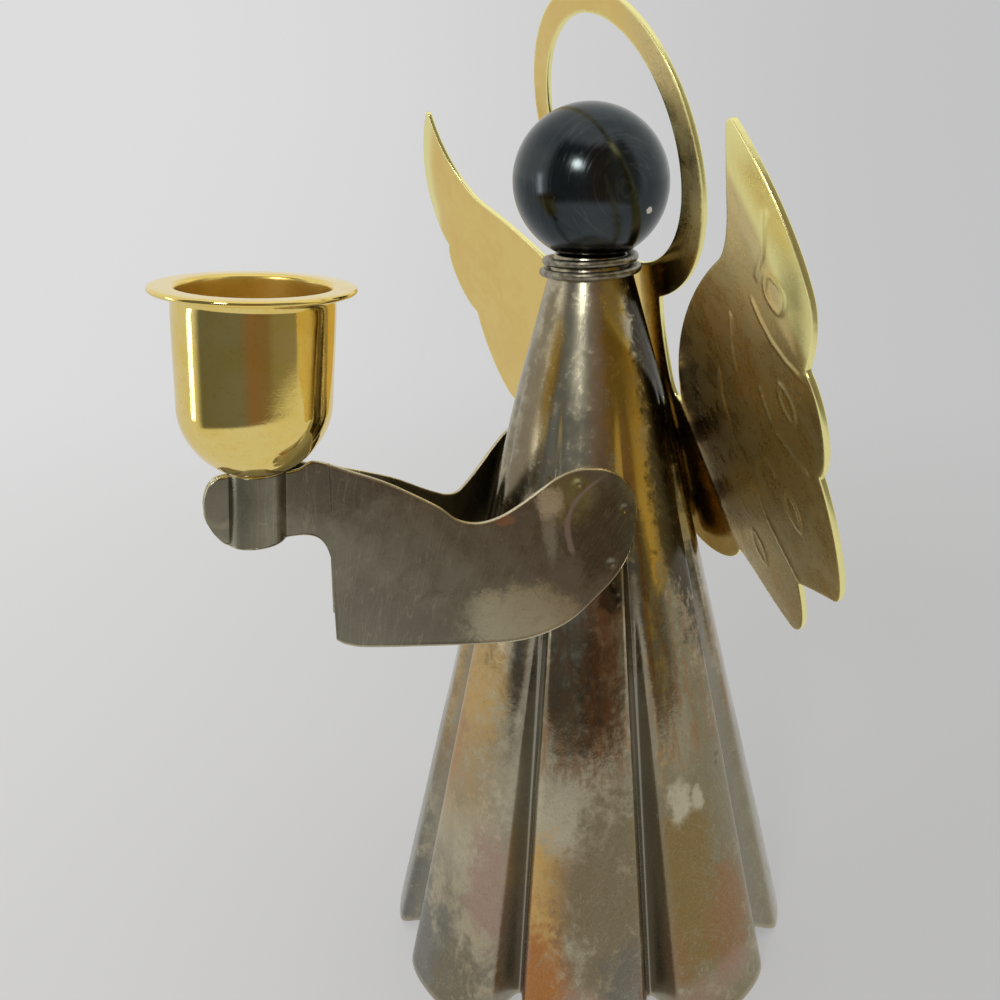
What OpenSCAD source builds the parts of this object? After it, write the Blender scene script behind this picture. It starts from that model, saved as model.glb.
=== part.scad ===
// Sheet-metal angel that holds one candle in a cup on its joined hands.
// The model stands on z = 0 and faces -Y. The robe's axis is the working axis, and every
// piece is moved at the end so that the middle of the whole footprint is at the origin.

/* [Robe] */
// Height of the robe's open neck above the table
robe_h = 142.6; // [120:1:170]
// Radius of the hem over its lobes
hem_r = 41.5; // [34:0.5:50]
// Height of the neck's steeper cone, down to the bodice
neck_len = 27.6; // [20:0.1:34]
// Radius of the robe at the bodice, where that cone starts
bodice_r = 14.6; // [12:0.1:18]
// Outer radius of the neck that the head sits on
neck_r = 7; // [6.6:0.1:8]
// Thickness of the robe's sheet
robe_sheet = 0.8; // [0.6:0.1:1.2]
// Number of flutes pressed into the skirt
flutes = 8; // [6:1:10]
// Depth of a flute at the hem
flute_depth = 7.75; // [3:0.25:9]
// Height at which the flutes fade out
flute_top_z = 121; // [90:1:125]
// Turn of the first flute from the front
flute_turn = -6.5; // [-22:0.5:22]

/* [Head] */
// Radius of the ball
ball_r = 14.7; // [12:0.1:17]
// Radius of the stud that holds the ball down
stud_r = 2; // [1.5:0.1:2.5]
// How far the stud enters the ball
stud_grip = 8; // [5:0.5:10]
// Thickness of the coned washer inside the neck
washer_t = 1.2; // [0.8:0.1:2]
// Height of the washer's top face below the neck's rim
washer_drop = 5.6; // [4:0.1:8]
// Width across the nut's flats
nut_flats = 7; // [6:0.1:8]
// Height of the nut
nut_t = 3.2; // [2:0.1:5]

/* [Neck wire] */
// Diameter of the wire
wire_d = 1.6; // [1.2:0.1:1.8]
// Number of turns round the neck
wire_turns = 2; // [1:1:3]
// Rise of the wire in one turn
wire_pitch = 2.1; // [2:0.1:2.6]
// Depth of the wire's upper end below the neck's rim
wire_drop = 0.1; // [0:0.1:1]
// Azimuth of both ends, from the front towards the angel's left
wire_end_turn = 210; // [195:1:300]

/* [Halo and wings] */
// Thickness of the brass sheet
plate_t = 1; // [0.8:0.1:1.5]
// Outer radius of the halo
halo_r = 29.6; // [27:0.1:32]
// Radius of the halo's hole
hole_r = 23.5; // [21:0.1:24.5]
// Height of the halo's centre above the ball's centre
halo_over = 6.5; // [3:0.1:10]
// How much higher the centre of the hole is than the centre of the halo
hole_lift = 0.9; // [0:0.1:1.5]
// Bend that tips the halo forward
halo_bend = 2; // [1:0.5:4]
// Half width of the stem at its narrowest
stem_half = 5.5; // [4.5:0.1:6.5]
// Reach of one wing along the sheet from the middle line
wing_span = 72; // [60:1:80]
// Height of the wing tip along the sheet above the lower solder bead
wing_top = 88.2; // [80:1:95]
// Angle by which each wing is folded forward
wing_fold = 12.2; // [4:0.1:16]
// Slant of the fold from the sheet's middle line
fold_slant = 24.7; // [15:0.1:28]
// Depth of the lower solder bead below the neck's rim
bead_drop = 56.6; // [50:0.1:62]
// Distance between the two beads, measured up the robe
bead_step = 15; // [10:1:20]
// Radius of a bead behind the wings
bead_r = 2.5; // [1.5:0.1:3]
// Thickness of solder between the robe and the sheet
bead_t = 0.5; // [0.4:0.1:1]

/* [Arms] */
// Thickness of the arm's sheet
arm_sheet = 0.8; // [0.6:0.1:1]
// How far the shoulder's edge reaches round the robe past the arm's straight run
shoulder_wrap = 5.7; // [4:0.1:8]
// Depth of the sleeve's lower edge below the neck's rim
sleeve_drop = 66.8; // [62:0.1:72]
// Height of the arm from the sleeve's lower edge to the cup's seat
arm_h = 34.3; // [32:0.1:38]
// Air between the arm's sheet and the robe
arm_gap = 0.4; // [0.3:0.1:1]
// Air between the two hands
hand_gap = 0.3; // [0.2:0.1:0.6]
// Radius of a solder spot under the arm
spot_r = 1.2; // [0.8:0.1:1.6]

/* [Cup] */
// Distance from the robe's axis to the cup's axis at the cup's seat
cup_reach = 63.5; // [60:0.5:68]
// Angle by which the cup leans back
cup_lean = 3.5; // [0:0.5:5]
// Radius of the candle's bore
bore_r = 12.1; // [10:0.1:13]
// Thickness of the cup's wall
cup_wall = 0.8; // [0.6:0.1:1.2]
// Height of the cup above its seat
cup_h = 31; // [26:0.5:36]
// Height of the cup's rounded bottom
bowl_h = 11.2; // [9:0.1:13]
// Outer radius of the rim
rim_r = 16.3; // [15.3:0.1:18]
// Thickness of the rim
rim_t = 1; // [0.8:0.1:1.4]

/* [Peg] */
// Radius of the peg under the cup
peg_r = 3.92; // [3:0.01:4]
// Free space round the peg in the hands
peg_play = 0.08; // [0.05:0.01:0.1]
// Wall of the half tubes that the hands form
tube_wall = 0.8; // [0.6:0.1:1]
// Length of those half tubes
tube_h = 12.7; // [9:0.1:15]
// Space left under the peg in the half tubes
peg_short = 0.7; // [0.5:0.1:2]
// Radius of the peg's riveted neck
rivet_neck_r = 2.4; // [2:0.1:3]
// Radius of the rivet head inside the cup
rivet_head_r = 4; // [3.4:0.1:4.4]
// Height of the rivet head
rivet_head_h = 1.3; // [0.8:0.1:2]

/* [Hidden] */

// Overrun of every cut past the face it opens
overrun = 1;
// Gap left between seated pieces
seat = 0.05;
// Gap under the cup where it rests on the hands
cup_seat = 0.2;
$fn = 96;

silver = "#8f8a80";
brass = "#d9b25c";
iron = "#3c4250";
zinc = "#a9aaad";
solder = "#b9b4a6";

// Robe: a straight taper in two slopes, with one narrow flute at each pitch

// Columns of points in each flute's pitch, an even number
flute_columns = 14;
// Crowding of the columns towards the middle of the flute
column_crowd = 1.7;
// Angle at which a flute has lost two thirds of its depth
flute_width = 3.9;
// How fast a flute deepens towards the hem
flute_rate = 1.3;
// Fall of a lobe from its crest to its shoulder, as a share of the flute's depth
crown_share = 0.05;
flute_pitch = 360 / flutes;
bodice_z = robe_h - neck_len;
// Place of each ring of points, as a share of the way from the hem to the bodice, and of the
// way from there to the neck
skirt_ring_shares = [0, 0.062, 0.161, 0.285, 0.409, 0.533, 0.657, 0.781, 0.893, 1];
neck_ring_shares = [0.48, 1];
// Step of azimuth over which the wall's direction is measured
nudge = 0.05;

function polar(r, a) = [r * sin(a), -r * cos(a)];
function robe_r(z) = z < bodice_z
    ? hem_r + (bodice_r - hem_r) * z / bodice_z
    : bodice_r + (neck_r - bodice_r) * (z - bodice_z) / (robe_h - bodice_z);
function flute_cut(z) = flute_depth * pow(max(0, 1 - z / flute_top_z), flute_rate);
function off_flute(a) = let (w = (a - flute_turn) / flute_pitch) abs(w - round(w)) * flute_pitch;
function skirt_r(a, z) = robe_r(z) - flute_cut(z) * (exp(-pow(off_flute(a) / flute_width, 2))
    + crown_share * pow(1 - 2 * off_flute(a) / flute_pitch, 2));
function skirt_out(a, z) = let (
    d = polar(skirt_r(a + nudge, z), a + nudge) - polar(skirt_r(a - nudge, z), a - nudge)
  ) [d[1], -d[0]] / norm(d);
function skirt_ring(z, inset) = [
    for (f = [0 : flutes - 1], k = [-flute_columns / 2 : flute_columns / 2 - 1]) let (
        t = 2 * k / flute_columns,
        a = flute_turn + flute_pitch * (f + sign(t) * pow(abs(t), column_crowd) / 2),
        p = polar(skirt_r(a, z), a) - inset * skirt_out(a, z)
      ) [p[0], p[1], z]
  ];

// Faces of a skin over equal loops of points. The loops close on the first one, or end in caps
// that pair the points of the first half of a loop with those of its second half.
function skin_faces(loops, n, round_trip) = concat(
    [for (j = [0 : loops - (round_trip ? 1 : 2)], i = [0 : n - 1], half = [0, 1]) let (
        a = j * n + i,
        b = j * n + (i + 1) % n,
        c = (j + 1) % loops * n + (i + 1) % n,
        d = (j + 1) % loops * n + i
      ) half == 0 ? [a, c, b] : [a, d, c]],
    round_trip ? [] : [for (e = [0, loops - 1], i = [0 : n / 2 - 2], half = [0, 1]) let (
        a = e * n + i,
        b = a + 1,
        c = e * n + n - 2 - i,
        d = c + 1,
        tri = half == 0 ? [a, b, c] : [a, c, d]
      ) e == 0 ? tri : [tri[2], tri[1], tri[0]]]
  );

// Moves the working axis so that the footprint's middle is at the origin
hem_back = max([for (p = skirt_ring(0, 0)) p[1]]);
rim_front = cup_reach + (rim_r - rim_t / 2) * cos(cup_lean) - (cup_h - rim_t / 2) * sin(cup_lean) + rim_t / 2;
module footprint_middle() {
    translate([0, (rim_front - hem_back) / 2, 0]) children();
}

module robe() {
    heights = concat([for (s = skirt_ring_shares) s * bodice_z],
                     [for (s = neck_ring_shares) bodice_z + s * (robe_h - bodice_z)]);
    up = [for (z = heights) skirt_ring(z, 0)];
    down = [for (k = [len(heights) - 1 : -1 : 0]) skirt_ring(heights[k], robe_sheet)];
    loops = concat(up, down);
    color(silver) footprint_middle() polyhedron(
        points = [for (loop = loops, p = loop) p],
        faces = skin_faces(len(loops), len(loops[0]), true));
}

// Neck wire: one unbroken helix that hugs the cone of the neck

// Rings of points in one turn of the wire
wire_rings = 24;
// Sides of the wire
wire_sides = 6;
// Air between the wire and the neck
wire_clear = 0.25;

wire_z1 = robe_h - wire_drop;
wire_z0 = wire_z1 - wire_turns * wire_pitch;
function wire_hug_r(z) = robe_r(z) + seat + wire_clear + wire_d / 2;
function wire_centre(t) = let (
    z = wire_z0 + t * wire_pitch,
    p = polar(wire_hug_r(z), wire_end_turn + 360 * t)
  ) [p[0], p[1], z];
wire_steps = [for (k = [0 : wire_turns * wire_rings]) k / wire_rings];
function wire_way(t) = let (
    d = wire_centre(t + 1 / wire_rings) - wire_centre(t - 1 / wire_rings)
  ) d / norm(d);
function wire_loop(t, extra) = let (
    way = wire_way(t),
    radial = polar(1, wire_end_turn + 360 * t),
    side = cross(way, [radial[0], radial[1], 0]),
    out = cross(side / norm(side), way)
  ) [for (k = [0 : wire_sides - 1]) wire_centre(t) + extra * way
        + wire_d / 2 * (cos(360 * k / wire_sides) * out + sin(360 * k / wire_sides) * side / norm(side))];
// Least gap between one stretch of the wire and the next, half a turn or more away
wire_gap = min([for (a = wire_steps, b = wire_steps) if (b - a >= 0.5) norm(wire_centre(b) - wire_centre(a))])
    - wire_d;
echo(wire_gap = wire_gap);

module neck_wire() {
    loops = concat([wire_loop(0, -wire_d)], [for (t = wire_steps) wire_loop(t, 0)],
                   [wire_loop(wire_turns, wire_d)]);
    color(silver) footprint_middle() polyhedron(
        points = [for (loop = loops, p = loop) p],
        faces = skin_faces(len(loops), wire_sides, false));
}

// Head: a ball on the neck's inner edge, drawn down by a stud, a coned washer and a nut

ball_z = robe_h + sqrt(pow(ball_r, 2) - pow(neck_r - robe_sheet, 2)) + seat;
washer_z = robe_h - washer_drop;
// Length of stud that shows under the nut
stud_tail = 1.5;
nut_z = washer_z - washer_t - seat - nut_t;
stud_bottom_z = nut_z - stud_tail;
stud_top_z = ball_z - ball_r + stud_grip;

module head_ball() {
    color(iron) footprint_middle() difference() {
        translate([0, 0, ball_z]) sphere(r = ball_r);
        translate([0, 0, ball_z - ball_r - overrun])
            cylinder(r = stud_r + seat, h = stud_grip + overrun + seat);
    }
}

module head_stud() {
    color(zinc) footprint_middle() translate([0, 0, stud_bottom_z])
        cylinder(r = stud_r, h = stud_top_z - stud_bottom_z);
}

module neck_washer() {
    color(zinc) footprint_middle() translate([0, 0, washer_z - washer_t]) difference() {
        cylinder(r1 = robe_r(washer_z - washer_t) - robe_sheet - 2 * seat,
                 r2 = robe_r(washer_z) - robe_sheet - 2 * seat, h = washer_t);
        translate([0, 0, -overrun]) cylinder(r = stud_r + seat, h = washer_t + 2 * overrun);
    }
}

module head_nut() {
    color(zinc) footprint_middle() translate([0, 0, nut_z]) difference() {
        cylinder(r = nut_flats / 2 / cos(30), h = nut_t, $fn = 6);
        translate([0, 0, -overrun]) cylinder(r = stud_r + seat, h = nut_t + 2 * overrun);
    }
}

// Halo and wings: one brass sheet. It leans on the neck wire at the top and on two solder
// beads at the bottom, and its halo and wings are folded out of that plane.

// Place of the beads between the two flutes at the back, as a share of the pitch
bead_place_share = 0.24;
// Azimuth of the beads
bead_turn = flute_turn + flute_pitch * (floor((180 - flute_turn) / flute_pitch) + bead_place_share);
// Least air between the sheet and the bodice
bodice_clear = 0.2;
bead_z = robe_h - bead_drop;
// The sheet's middle plane passes behind the wire's lowest full turn, and behind the lower bead
// or the bodice, whichever leans it further out
wire_back_z = wire_z0 + wire_pitch * (1 - (wire_end_turn - 180) / 360);
lean_y1 = wire_hug_r(wire_back_z) + wire_d / 2 + seat + plate_t / 2;
function lean_past(z, r) = lean_y1 + (r + plate_t / 2 - lean_y1) * (wire_back_z - bead_z) / (wire_back_z - z);
lean_y0 = max(lean_past(bead_z, robe_r(bead_z) + bead_t), lean_past(bodice_z, bodice_r + bodice_clear));
plate_lean = atan((lean_y0 - lean_y1) / (wire_back_z - bead_z));
// Height along the sheet at which the halo tips forward, at the wire
halo_hinge = (wire_back_z - bead_z) / cos(plate_lean);
halo_rise = (ball_z + halo_over - bead_z) / cos(plate_lean);
// Overlap of two panels at a fold
fold_lap = plate_t * tan(wing_fold / 2);

// The wing's edge from the middle of the bottom, round the five lobes to the tip and down the
// inner edge, as shares of wing_span and wing_top. Each row is a curve: two handles and its end.
wing_start_shares = [0, -0.007];
wing_curve_shares = [
    [[0.056, -0.062], [0.236, -0.08], [0.292, 0.001]],
    [[0.375, -0.011], [0.465, -0.066], [0.558, -0.075]],
    [[0.618, -0.062], [0.657, -0.002], [0.672, 0.092]],
    [[0.722, 0.109], [0.821, 0.135], [0.861, 0.145]],
    [[0.921, 0.171], [0.949, 0.329], [0.925, 0.423]],
    [[0.993, 0.465], [1.008, 0.584], [0.967, 0.626]],
    [[1.049, 0.726], [0.993, 0.873], [0.846, 1]],
    [[0.84, 1.003], [0.83, 1.0], [0.825, 0.995]],
    [[0.814, 0.913], [0.764, 0.805], [0.667, 0.755]],
    [[0.472, 0.675], [0.208, 0.522], [0.129, 0.331]],
    [[0.123, 0.321], [0.114, 0.317], [0.106, 0.319]],
];
// Half of the stem from the crotch of the wing up to the halo, as shares of stem_half and
// of the height from the crotch to the halo's hinge
stem_curve_shares = [
    [[1.15, 0.02], [1, 0.07], [1, 0.17]],
    [[0.98, 0.42], [1.1, 0.66], [1.31, 0.79]],
    [[1.5, 0.88], [1.9, 0.92], [2.55, 0.93]],
];
// Points along each curve
curve_steps = 8;

function curve_point(a, b, c, d, t) =
    a * pow(1 - t, 3) + b * 3 * t * pow(1 - t, 2) + c * 3 * t * t * (1 - t) + d * pow(t, 3);
function curve_chain(start, rows) = [
    start,
    for (k = [0 : len(rows) - 1], j = [1 : curve_steps])
        curve_point(k == 0 ? start : rows[k - 1][2], rows[k][0], rows[k][1], rows[k][2], j / curve_steps)
  ];
function sized(points, w, h) = [for (p = points) [p[0] * w, p[1] * h]];

wing_edge = sized(curve_chain(wing_start_shares, wing_curve_shares), wing_span, wing_top);
crotch = wing_edge[len(wing_edge) - 1];
stem_rise = halo_hinge - crotch[1];
stem_edge = [for (p = sized(curve_chain([crotch[0] / stem_half, 0], stem_curve_shares), stem_half, stem_rise))
    [p[0], p[1] + crotch[1]]];

module both_sides() {
    children();
    mirror([1, 0, 0]) children();
}

module wing_shape() {
    polygon(concat(wing_edge, [[0, crotch[1]]]));
}

// The half plane on the wing's side of the fold
module beyond_fold(lap) {
    big = wing_span + wing_top;
    translate(crotch) rotate(fold_slant) translate([-lap, -big]) square([big, 2 * big]);
}

module stem_shape() {
    polygon(concat(stem_edge, [[0, stem_edge[len(stem_edge) - 1][1]], [0, crotch[1] / 2]]));
}

module halo_shape() {
    difference() {
        translate([0, halo_rise]) circle(r = halo_r, $fn = 180);
        translate([0, halo_rise + hole_lift]) circle(r = hole_r, $fn = 180);
    }
}

// Everything on the halo's side of its hinge, or below it
module at_hinge(above) {
    big = 2 * wing_span;
    translate([-big, halo_hinge - (above ? 0 : 2 * big)]) square([2 * big, 2 * big]);
}

module slab() {
    translate([0, 0, -plate_t / 2]) linear_extrude(plate_t) children();
}

module wing_plate() {
    color(brass) footprint_middle() translate([0, lean_y0, bead_z]) rotate([90 + plate_lean, 0, 0]) {
        slab() {
            both_sides() difference() {
                wing_shape();
                beyond_fold(-fold_lap);
            }
            both_sides() stem_shape();
            intersection() {
                halo_shape();
                at_hinge(false);
            }
        }
        both_sides() translate([crotch[0], crotch[1], 0]) rotate([0, 0, fold_slant]) rotate([0, -wing_fold, 0])
            rotate([0, 0, -fold_slant]) translate([-crotch[0], -crotch[1], 0]) slab() intersection() {
                wing_shape();
                beyond_fold(fold_lap);
            }
        translate([0, halo_hinge, 0]) rotate([halo_bend, 0, 0]) translate([0, -halo_hinge, 0])
            slab() intersection() {
                halo_shape();
                at_hinge(true);
            }
    }
}

module wing_solder() {
    for (k = [0, 1]) let (z = bead_z + k * bead_step, p = polar(robe_r(z), bead_turn))
        color(solder) footprint_middle() translate([p[0], p[1], z]) rotate([90 + plate_lean, 0, 0])
            translate([0, 0, -bead_len(z, p)]) cylinder(r = bead_r, h = bead_len(z, p) - 2 * seat);
}
// Distance from a point on the robe back to the sheet's front face
function bead_len(z, p) =
    (lean_y0 - (z - bead_z) * tan(plate_lean) - p[1]) * cos(plate_lean) - plate_t / 2 - seat;

// Arms: each is one sheet from the fingertips, past the half tube that grips the peg, in a
// straight run to the robe, and on round the robe's side

hand_x = (hand_gap + arm_sheet) / 2;
// Distance of the sheet's bend behind the cup's axis
bend_back = 1.2;
hand_y = cup_reach - bend_back;
sleeve_z = robe_h - sleeve_drop;
seat_z = sleeve_z + arm_h;
// Length of an arm from the bend at the hand to the shoulder's edge
function run_len(z) = sqrt(hand_x * hand_x + hand_y * hand_y - pow(robe_r(z) + arm_gap + arm_sheet / 2, 2));
arm_len = run_len(sleeve_z + arm_h / 2) + shoulder_wrap;
// Place of the sleeve's cuff along the arm, as a share of arm_len
cuff_share = 0.147;
// Length of the slope from the hand's underside to the cuff, as a share of arm_len
cuff_slope_share = 0.008;
// Upper edge, and lower edges of hand and sleeve: place along the arm as a share of arm_len,
// and height above the sleeve's lower edge as a share of arm_h
arm_top_shares = [[-0.157, 0.86], [-0.153, 0.9], [-0.144, 0.945], [-0.124, 0.98], [-0.099, 0.99],
    [-0.03, 0.985], [0.04, 0.975], [0.085, 0.985], [0.122, 1.02], [0.222, 0.95], [0.307, 0.883], [0.394, 0.793],
    [0.45, 0.729], [0.496, 0.662], [0.55, 0.638], [0.606, 0.659], [0.667, 0.717], [0.724, 0.787],
    [0.772, 0.843], [0.82, 0.875], [0.876, 0.88], [0.938, 0.851], [0.975, 0.787], [0.995, 0.725], [1, 0.69]];
hand_low_shares = [[-0.157, 0.79], [-0.153, 0.765], [-0.136, 0.703], [-0.098, 0.638], [-0.033, 0.62],
    [0.042, 0.63], [0.084, 0.636], [0.118, 0.615], [0.147, 0.56]];
sleeve_low_shares = [[0.147, 0.055], [0.163, 0.035], [0.18, 0.023], [0.22, 0.008], [0.4, 0], [0.598, 0],
    [0.668, 0.012], [0.736, 0.047], [0.806, 0.111], [0.867, 0.207], [0.926, 0.309], [0.966, 0.411],
    [0.989, 0.531], [1, 0.62]];
// Columns of points in the hand and in the sleeve, and rows across the sheet
hand_columns = 12;
sleeve_columns = 34;
arm_rows = 5;
// Crowding of the columns towards the fingertips and the shoulder
arm_crowd = 1.6;

// Height on a smooth curve through the points of a table
function table_at(rows, x) = let (
    k = max([0, for (i = [0 : len(rows) - 2]) if (rows[i][0] <= x) i]),
    a = rows[max(0, k - 1)],
    b = rows[k],
    c = rows[k + 1],
    d = rows[min(len(rows) - 1, k + 2)],
    w = c[0] - b[0],
    t = (x - b[0]) / w,
    m0 = (c[1] - a[1]) / (c[0] - a[0]) * w,
    m1 = (d[1] - b[1]) / (d[0] - b[0]) * w
  ) b[1] * (2 * pow(t, 3) - 3 * t * t + 1) + m0 * (pow(t, 3) - 2 * t * t + t)
    + c[1] * (3 * t * t - 2 * pow(t, 3)) + m1 * (pow(t, 3) - t * t);

// Plan of the arm at one height: place and outward direction at a distance along the sheet
function arm_plan(s, z) = let (
    r = robe_r(z) + arm_gap + arm_sheet / 2,
    run = run_len(z),
    turn = atan(run / r) + atan(hand_x / hand_y),
    way = (polar(r, turn) - [hand_x, -hand_y]) / run,
    a = turn + (s - run) / r * 180 / PI
  ) s < 0 ? [[hand_x, s - hand_y], [1, 0]]
    : s < run ? [[hand_x, -hand_y] + s * way, [way[1], -way[0]]]
    : [polar(r, a), polar(1, a)];
function arm_column(x, rows_low) = let (
    low = table_at(rows_low, x),
    high = table_at(arm_top_shares, x),
    pts = [for (j = [0 : arm_rows - 1]) let (
        z = sleeve_z + arm_h * (low + (high - low) * j / (arm_rows - 1)),
        q = arm_plan(x * arm_len, z)
      ) [q[0], q[1], z]]
  ) concat(
    [for (j = [0 : arm_rows - 1]) let (p = pts[j][0] - pts[j][1] * arm_sheet / 2) [p[0], p[1], pts[j][2]]],
    [for (j = [arm_rows - 1 : -1 : 0]) let (p = pts[j][0] + pts[j][1] * arm_sheet / 2) [p[0], p[1], pts[j][2]]]);
finger_share = arm_top_shares[0][0];
arm_columns = concat(
    [for (k = [0 : hand_columns]) arm_column(
        finger_share + (cuff_share - finger_share) * pow(k / hand_columns, arm_crowd), hand_low_shares)],
    [for (k = [0 : sleeve_columns]) arm_column(
        cuff_share + cuff_slope_share
        + (1 - cuff_share - cuff_slope_share) * (1 - pow(1 - k / sleeve_columns, arm_crowd)), sleeve_low_shares)]);

// The cup's own frame: its origin is the middle of the half tubes' top, and it leans back
module cup_frame() {
    translate([0, -cup_reach, seat_z]) rotate([-cup_lean, 0, 0]) children();
}

tube_bore_r = peg_r + peg_play;

// The bore goes on down past the half tube, so that it also opens the hand's lower edge
module arm() {
    color(silver) difference() {
        union() {
            polyhedron(
                points = [for (loop = arm_columns, p = loop) p],
                faces = skin_faces(len(arm_columns), 2 * arm_rows, false));
            intersection() {
                cup_frame() translate([0, 0, -tube_h]) cylinder(r = tube_bore_r + tube_wall, h = tube_h);
                translate([hand_gap / 2, -cup_reach - 2 * tube_h, seat_z - 2 * tube_h]) cube(4 * tube_h);
            }
        }
        cup_frame() translate([0, 0, -2 * tube_h]) cylinder(r = tube_bore_r, h = 3 * tube_h);
    }
}

module left_arm() {
    footprint_middle() arm();
}

module right_arm() {
    footprint_middle() mirror([1, 0, 0]) arm();
}

// Solder spots under each arm: place along the arm as a share of arm_len, and height above the
// sleeve's lower edge as a share of arm_h
spot_shares = [[0.86, 0.8], [0.95, 0.66], [0.905, 0.38]];
robe_slope = atan((hem_r - bodice_r) / bodice_z);

// The spot follows the sheet's normal in to the robe's envelope, short of it by its own slant
module arm_spot(place, side) {
    z = sleeve_z + arm_h * place[1];
    plan = arm_plan(arm_len * place[0], z);
    inner = plan[0] - plan[1] * arm_sheet / 2;
    reach = inner * plan[1];
    way = atan2(plan[1][0], -plan[1][1]);
    slant = abs(way - atan2(inner[0], -inner[1]));
    gap = (reach - sqrt(reach * reach - inner * inner + pow(robe_r(z), 2))) * cos(robe_slope);
    long = gap - 2 * seat - spot_r * sin(slant);
    translate([side * inner[0], inner[1], z]) rotate([90 - robe_slope, 0, side * way])
        translate([0, 0, -seat - long]) cylinder(r = spot_r, h = long);
}

module arm_solder() {
    color(solder) footprint_middle() for (side = [1, -1], place = spot_shares) arm_spot(place, side);
}

// Cup: spun from sheet, with a flat seat, a rounded bottom, a straight bore and a turned-out rim

cup_r = bore_r + cup_wall;
// How far the cup's flat seat reaches past the half tubes, as a share of their wall
flat_edge_share = 0.25;
// Radius of that seat
cup_flat_r = tube_bore_r + tube_wall + flat_edge_share * tube_wall;
// Radius of the fillet under the rim, and of the lip into the bore
rim_fillet = 1.6;
lip_r = 0.9;
bowl_turn = acos(cup_flat_r / cup_r);
bowl_rise = bowl_h / sin(bowl_turn);
inner_turn = asin((bowl_h - cup_wall) / (bowl_rise - cup_wall));
// Points along each arc of the outline
arc_steps = 14;

function arc(centre, rx, ry, from, to) = [for (k = [0 : arc_steps]) let (a = from + (to - from) * k / arc_steps)
    centre + [rx * cos(a), ry * sin(a)]];

module candle_cup() {
    rim_under = cup_h - rim_t;
    color(brass) footprint_middle() cup_frame() translate([0, 0, cup_seat]) rotate_extrude() polygon(concat(
        [[rivet_neck_r + seat, 0]],
        arc([0, bowl_h], cup_r, bowl_rise, -bowl_turn, 0),
        arc([cup_r + rim_fillet, rim_under - rim_fillet], rim_fillet, rim_fillet, 180, 90),
        arc([rim_r - rim_t / 2, cup_h - rim_t / 2], rim_t / 2, rim_t / 2, -90, 90),
        arc([bore_r + lip_r, cup_h - lip_r], lip_r, lip_r, 90, 180),
        arc([0, bowl_h], bore_r, bowl_rise - cup_wall, 0, -inner_turn),
        [[rivet_neck_r + seat, cup_wall]]));
}

// Peg: turned rod, riveted through the cup's floor
module cup_peg() {
    peg_len = tube_h - peg_short;
    // Bevel at the peg's lower end
    bevel = 0.6;
    head_z = cup_wall + seat;
    color(zinc) footprint_middle() cup_frame() translate([0, 0, cup_seat]) rotate_extrude() polygon(concat(
        [[0, -peg_len], [peg_r - bevel, -peg_len], [peg_r, bevel - peg_len], [peg_r, -seat],
         [rivet_neck_r, -seat], [rivet_neck_r, head_z]],
        arc([0, head_z], rivet_head_r, rivet_head_h, 0, 90)));
}

robe();
neck_wire();
head_ball();
head_stud();
neck_washer();
head_nut();
wing_plate();
wing_solder();
left_arm();
right_arm();
arm_solder();
candle_cup();
cup_peg();
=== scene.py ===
import math
import bpy
import numpy as np
from mathutils import Matrix, Vector


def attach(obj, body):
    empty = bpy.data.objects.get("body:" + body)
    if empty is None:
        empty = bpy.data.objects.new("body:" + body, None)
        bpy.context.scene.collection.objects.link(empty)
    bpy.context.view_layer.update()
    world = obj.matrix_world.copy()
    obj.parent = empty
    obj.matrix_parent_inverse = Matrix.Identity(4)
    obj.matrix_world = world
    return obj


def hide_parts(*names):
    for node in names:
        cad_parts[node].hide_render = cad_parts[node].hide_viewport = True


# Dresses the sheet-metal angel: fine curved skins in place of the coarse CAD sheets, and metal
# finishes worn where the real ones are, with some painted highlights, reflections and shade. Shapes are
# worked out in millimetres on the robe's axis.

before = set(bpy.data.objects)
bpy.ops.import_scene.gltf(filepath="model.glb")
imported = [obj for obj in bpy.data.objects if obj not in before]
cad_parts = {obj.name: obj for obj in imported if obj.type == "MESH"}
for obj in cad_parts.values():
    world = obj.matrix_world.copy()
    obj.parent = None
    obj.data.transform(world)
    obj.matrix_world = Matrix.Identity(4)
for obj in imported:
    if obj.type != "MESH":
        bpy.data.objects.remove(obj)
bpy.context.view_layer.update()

millimetre = 0.001
axisShift = 18.3195  # the robe's axis stands this far behind the row's origin
tiny = 1e-12  # least length that anything is divided by


def toRow(points):
    # millimetres on the robe's axis to metres in the row's frame
    return (np.asarray(points, float) + [0, axisShift, 0]) * millimetre


def polar(radius, degrees):
    # the point at a radius and an azimuth that starts at the front and turns to the angel's left
    a = np.radians(degrees)
    return np.stack([radius * np.sin(a), -radius * np.cos(a)], -1)


def unit(vectors):
    # each vector over its own length
    return vectors / np.maximum(np.linalg.norm(vectors, axis=-1, keepdims=True), tiny)


def smoothStep(low, high, x):
    # 0 below low, 1 above high, and 3t^2 - 2t^3 between
    t = np.clip((x - low) / (high - low), 0, 1)
    return t * t * (3 - 2 * t)


def ripple(points, seed, wave, waves=9):
    # plane sine waves in fixed random directions, added and divided by half their number: about -1 to 1
    rng = np.random.default_rng(seed)
    total = 0
    for k in range(waves):
        way = unit(rng.normal(size=3))
        length = wave * (0.6 + 0.9 * rng.random())
        along = points @ way[:points.shape[-1]]
        total = total + np.sin(along * 2 * math.pi / length + rng.random() * 7)
    return total / (waves / 2)


def gridFaces(rows, cols, closeRows=False):
    # the quads between neighbours of a grid of points, joined round along each row
    r, c = np.meshgrid(np.arange(rows if closeRows else rows - 1), np.arange(cols), indexing="ij")
    r2, c2 = (r + 1) % rows, (c + 1) % cols
    return np.stack([r * cols + c, r * cols + c2, r2 * cols + c2, r2 * cols + c], -1).reshape(-1, 4)


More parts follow.
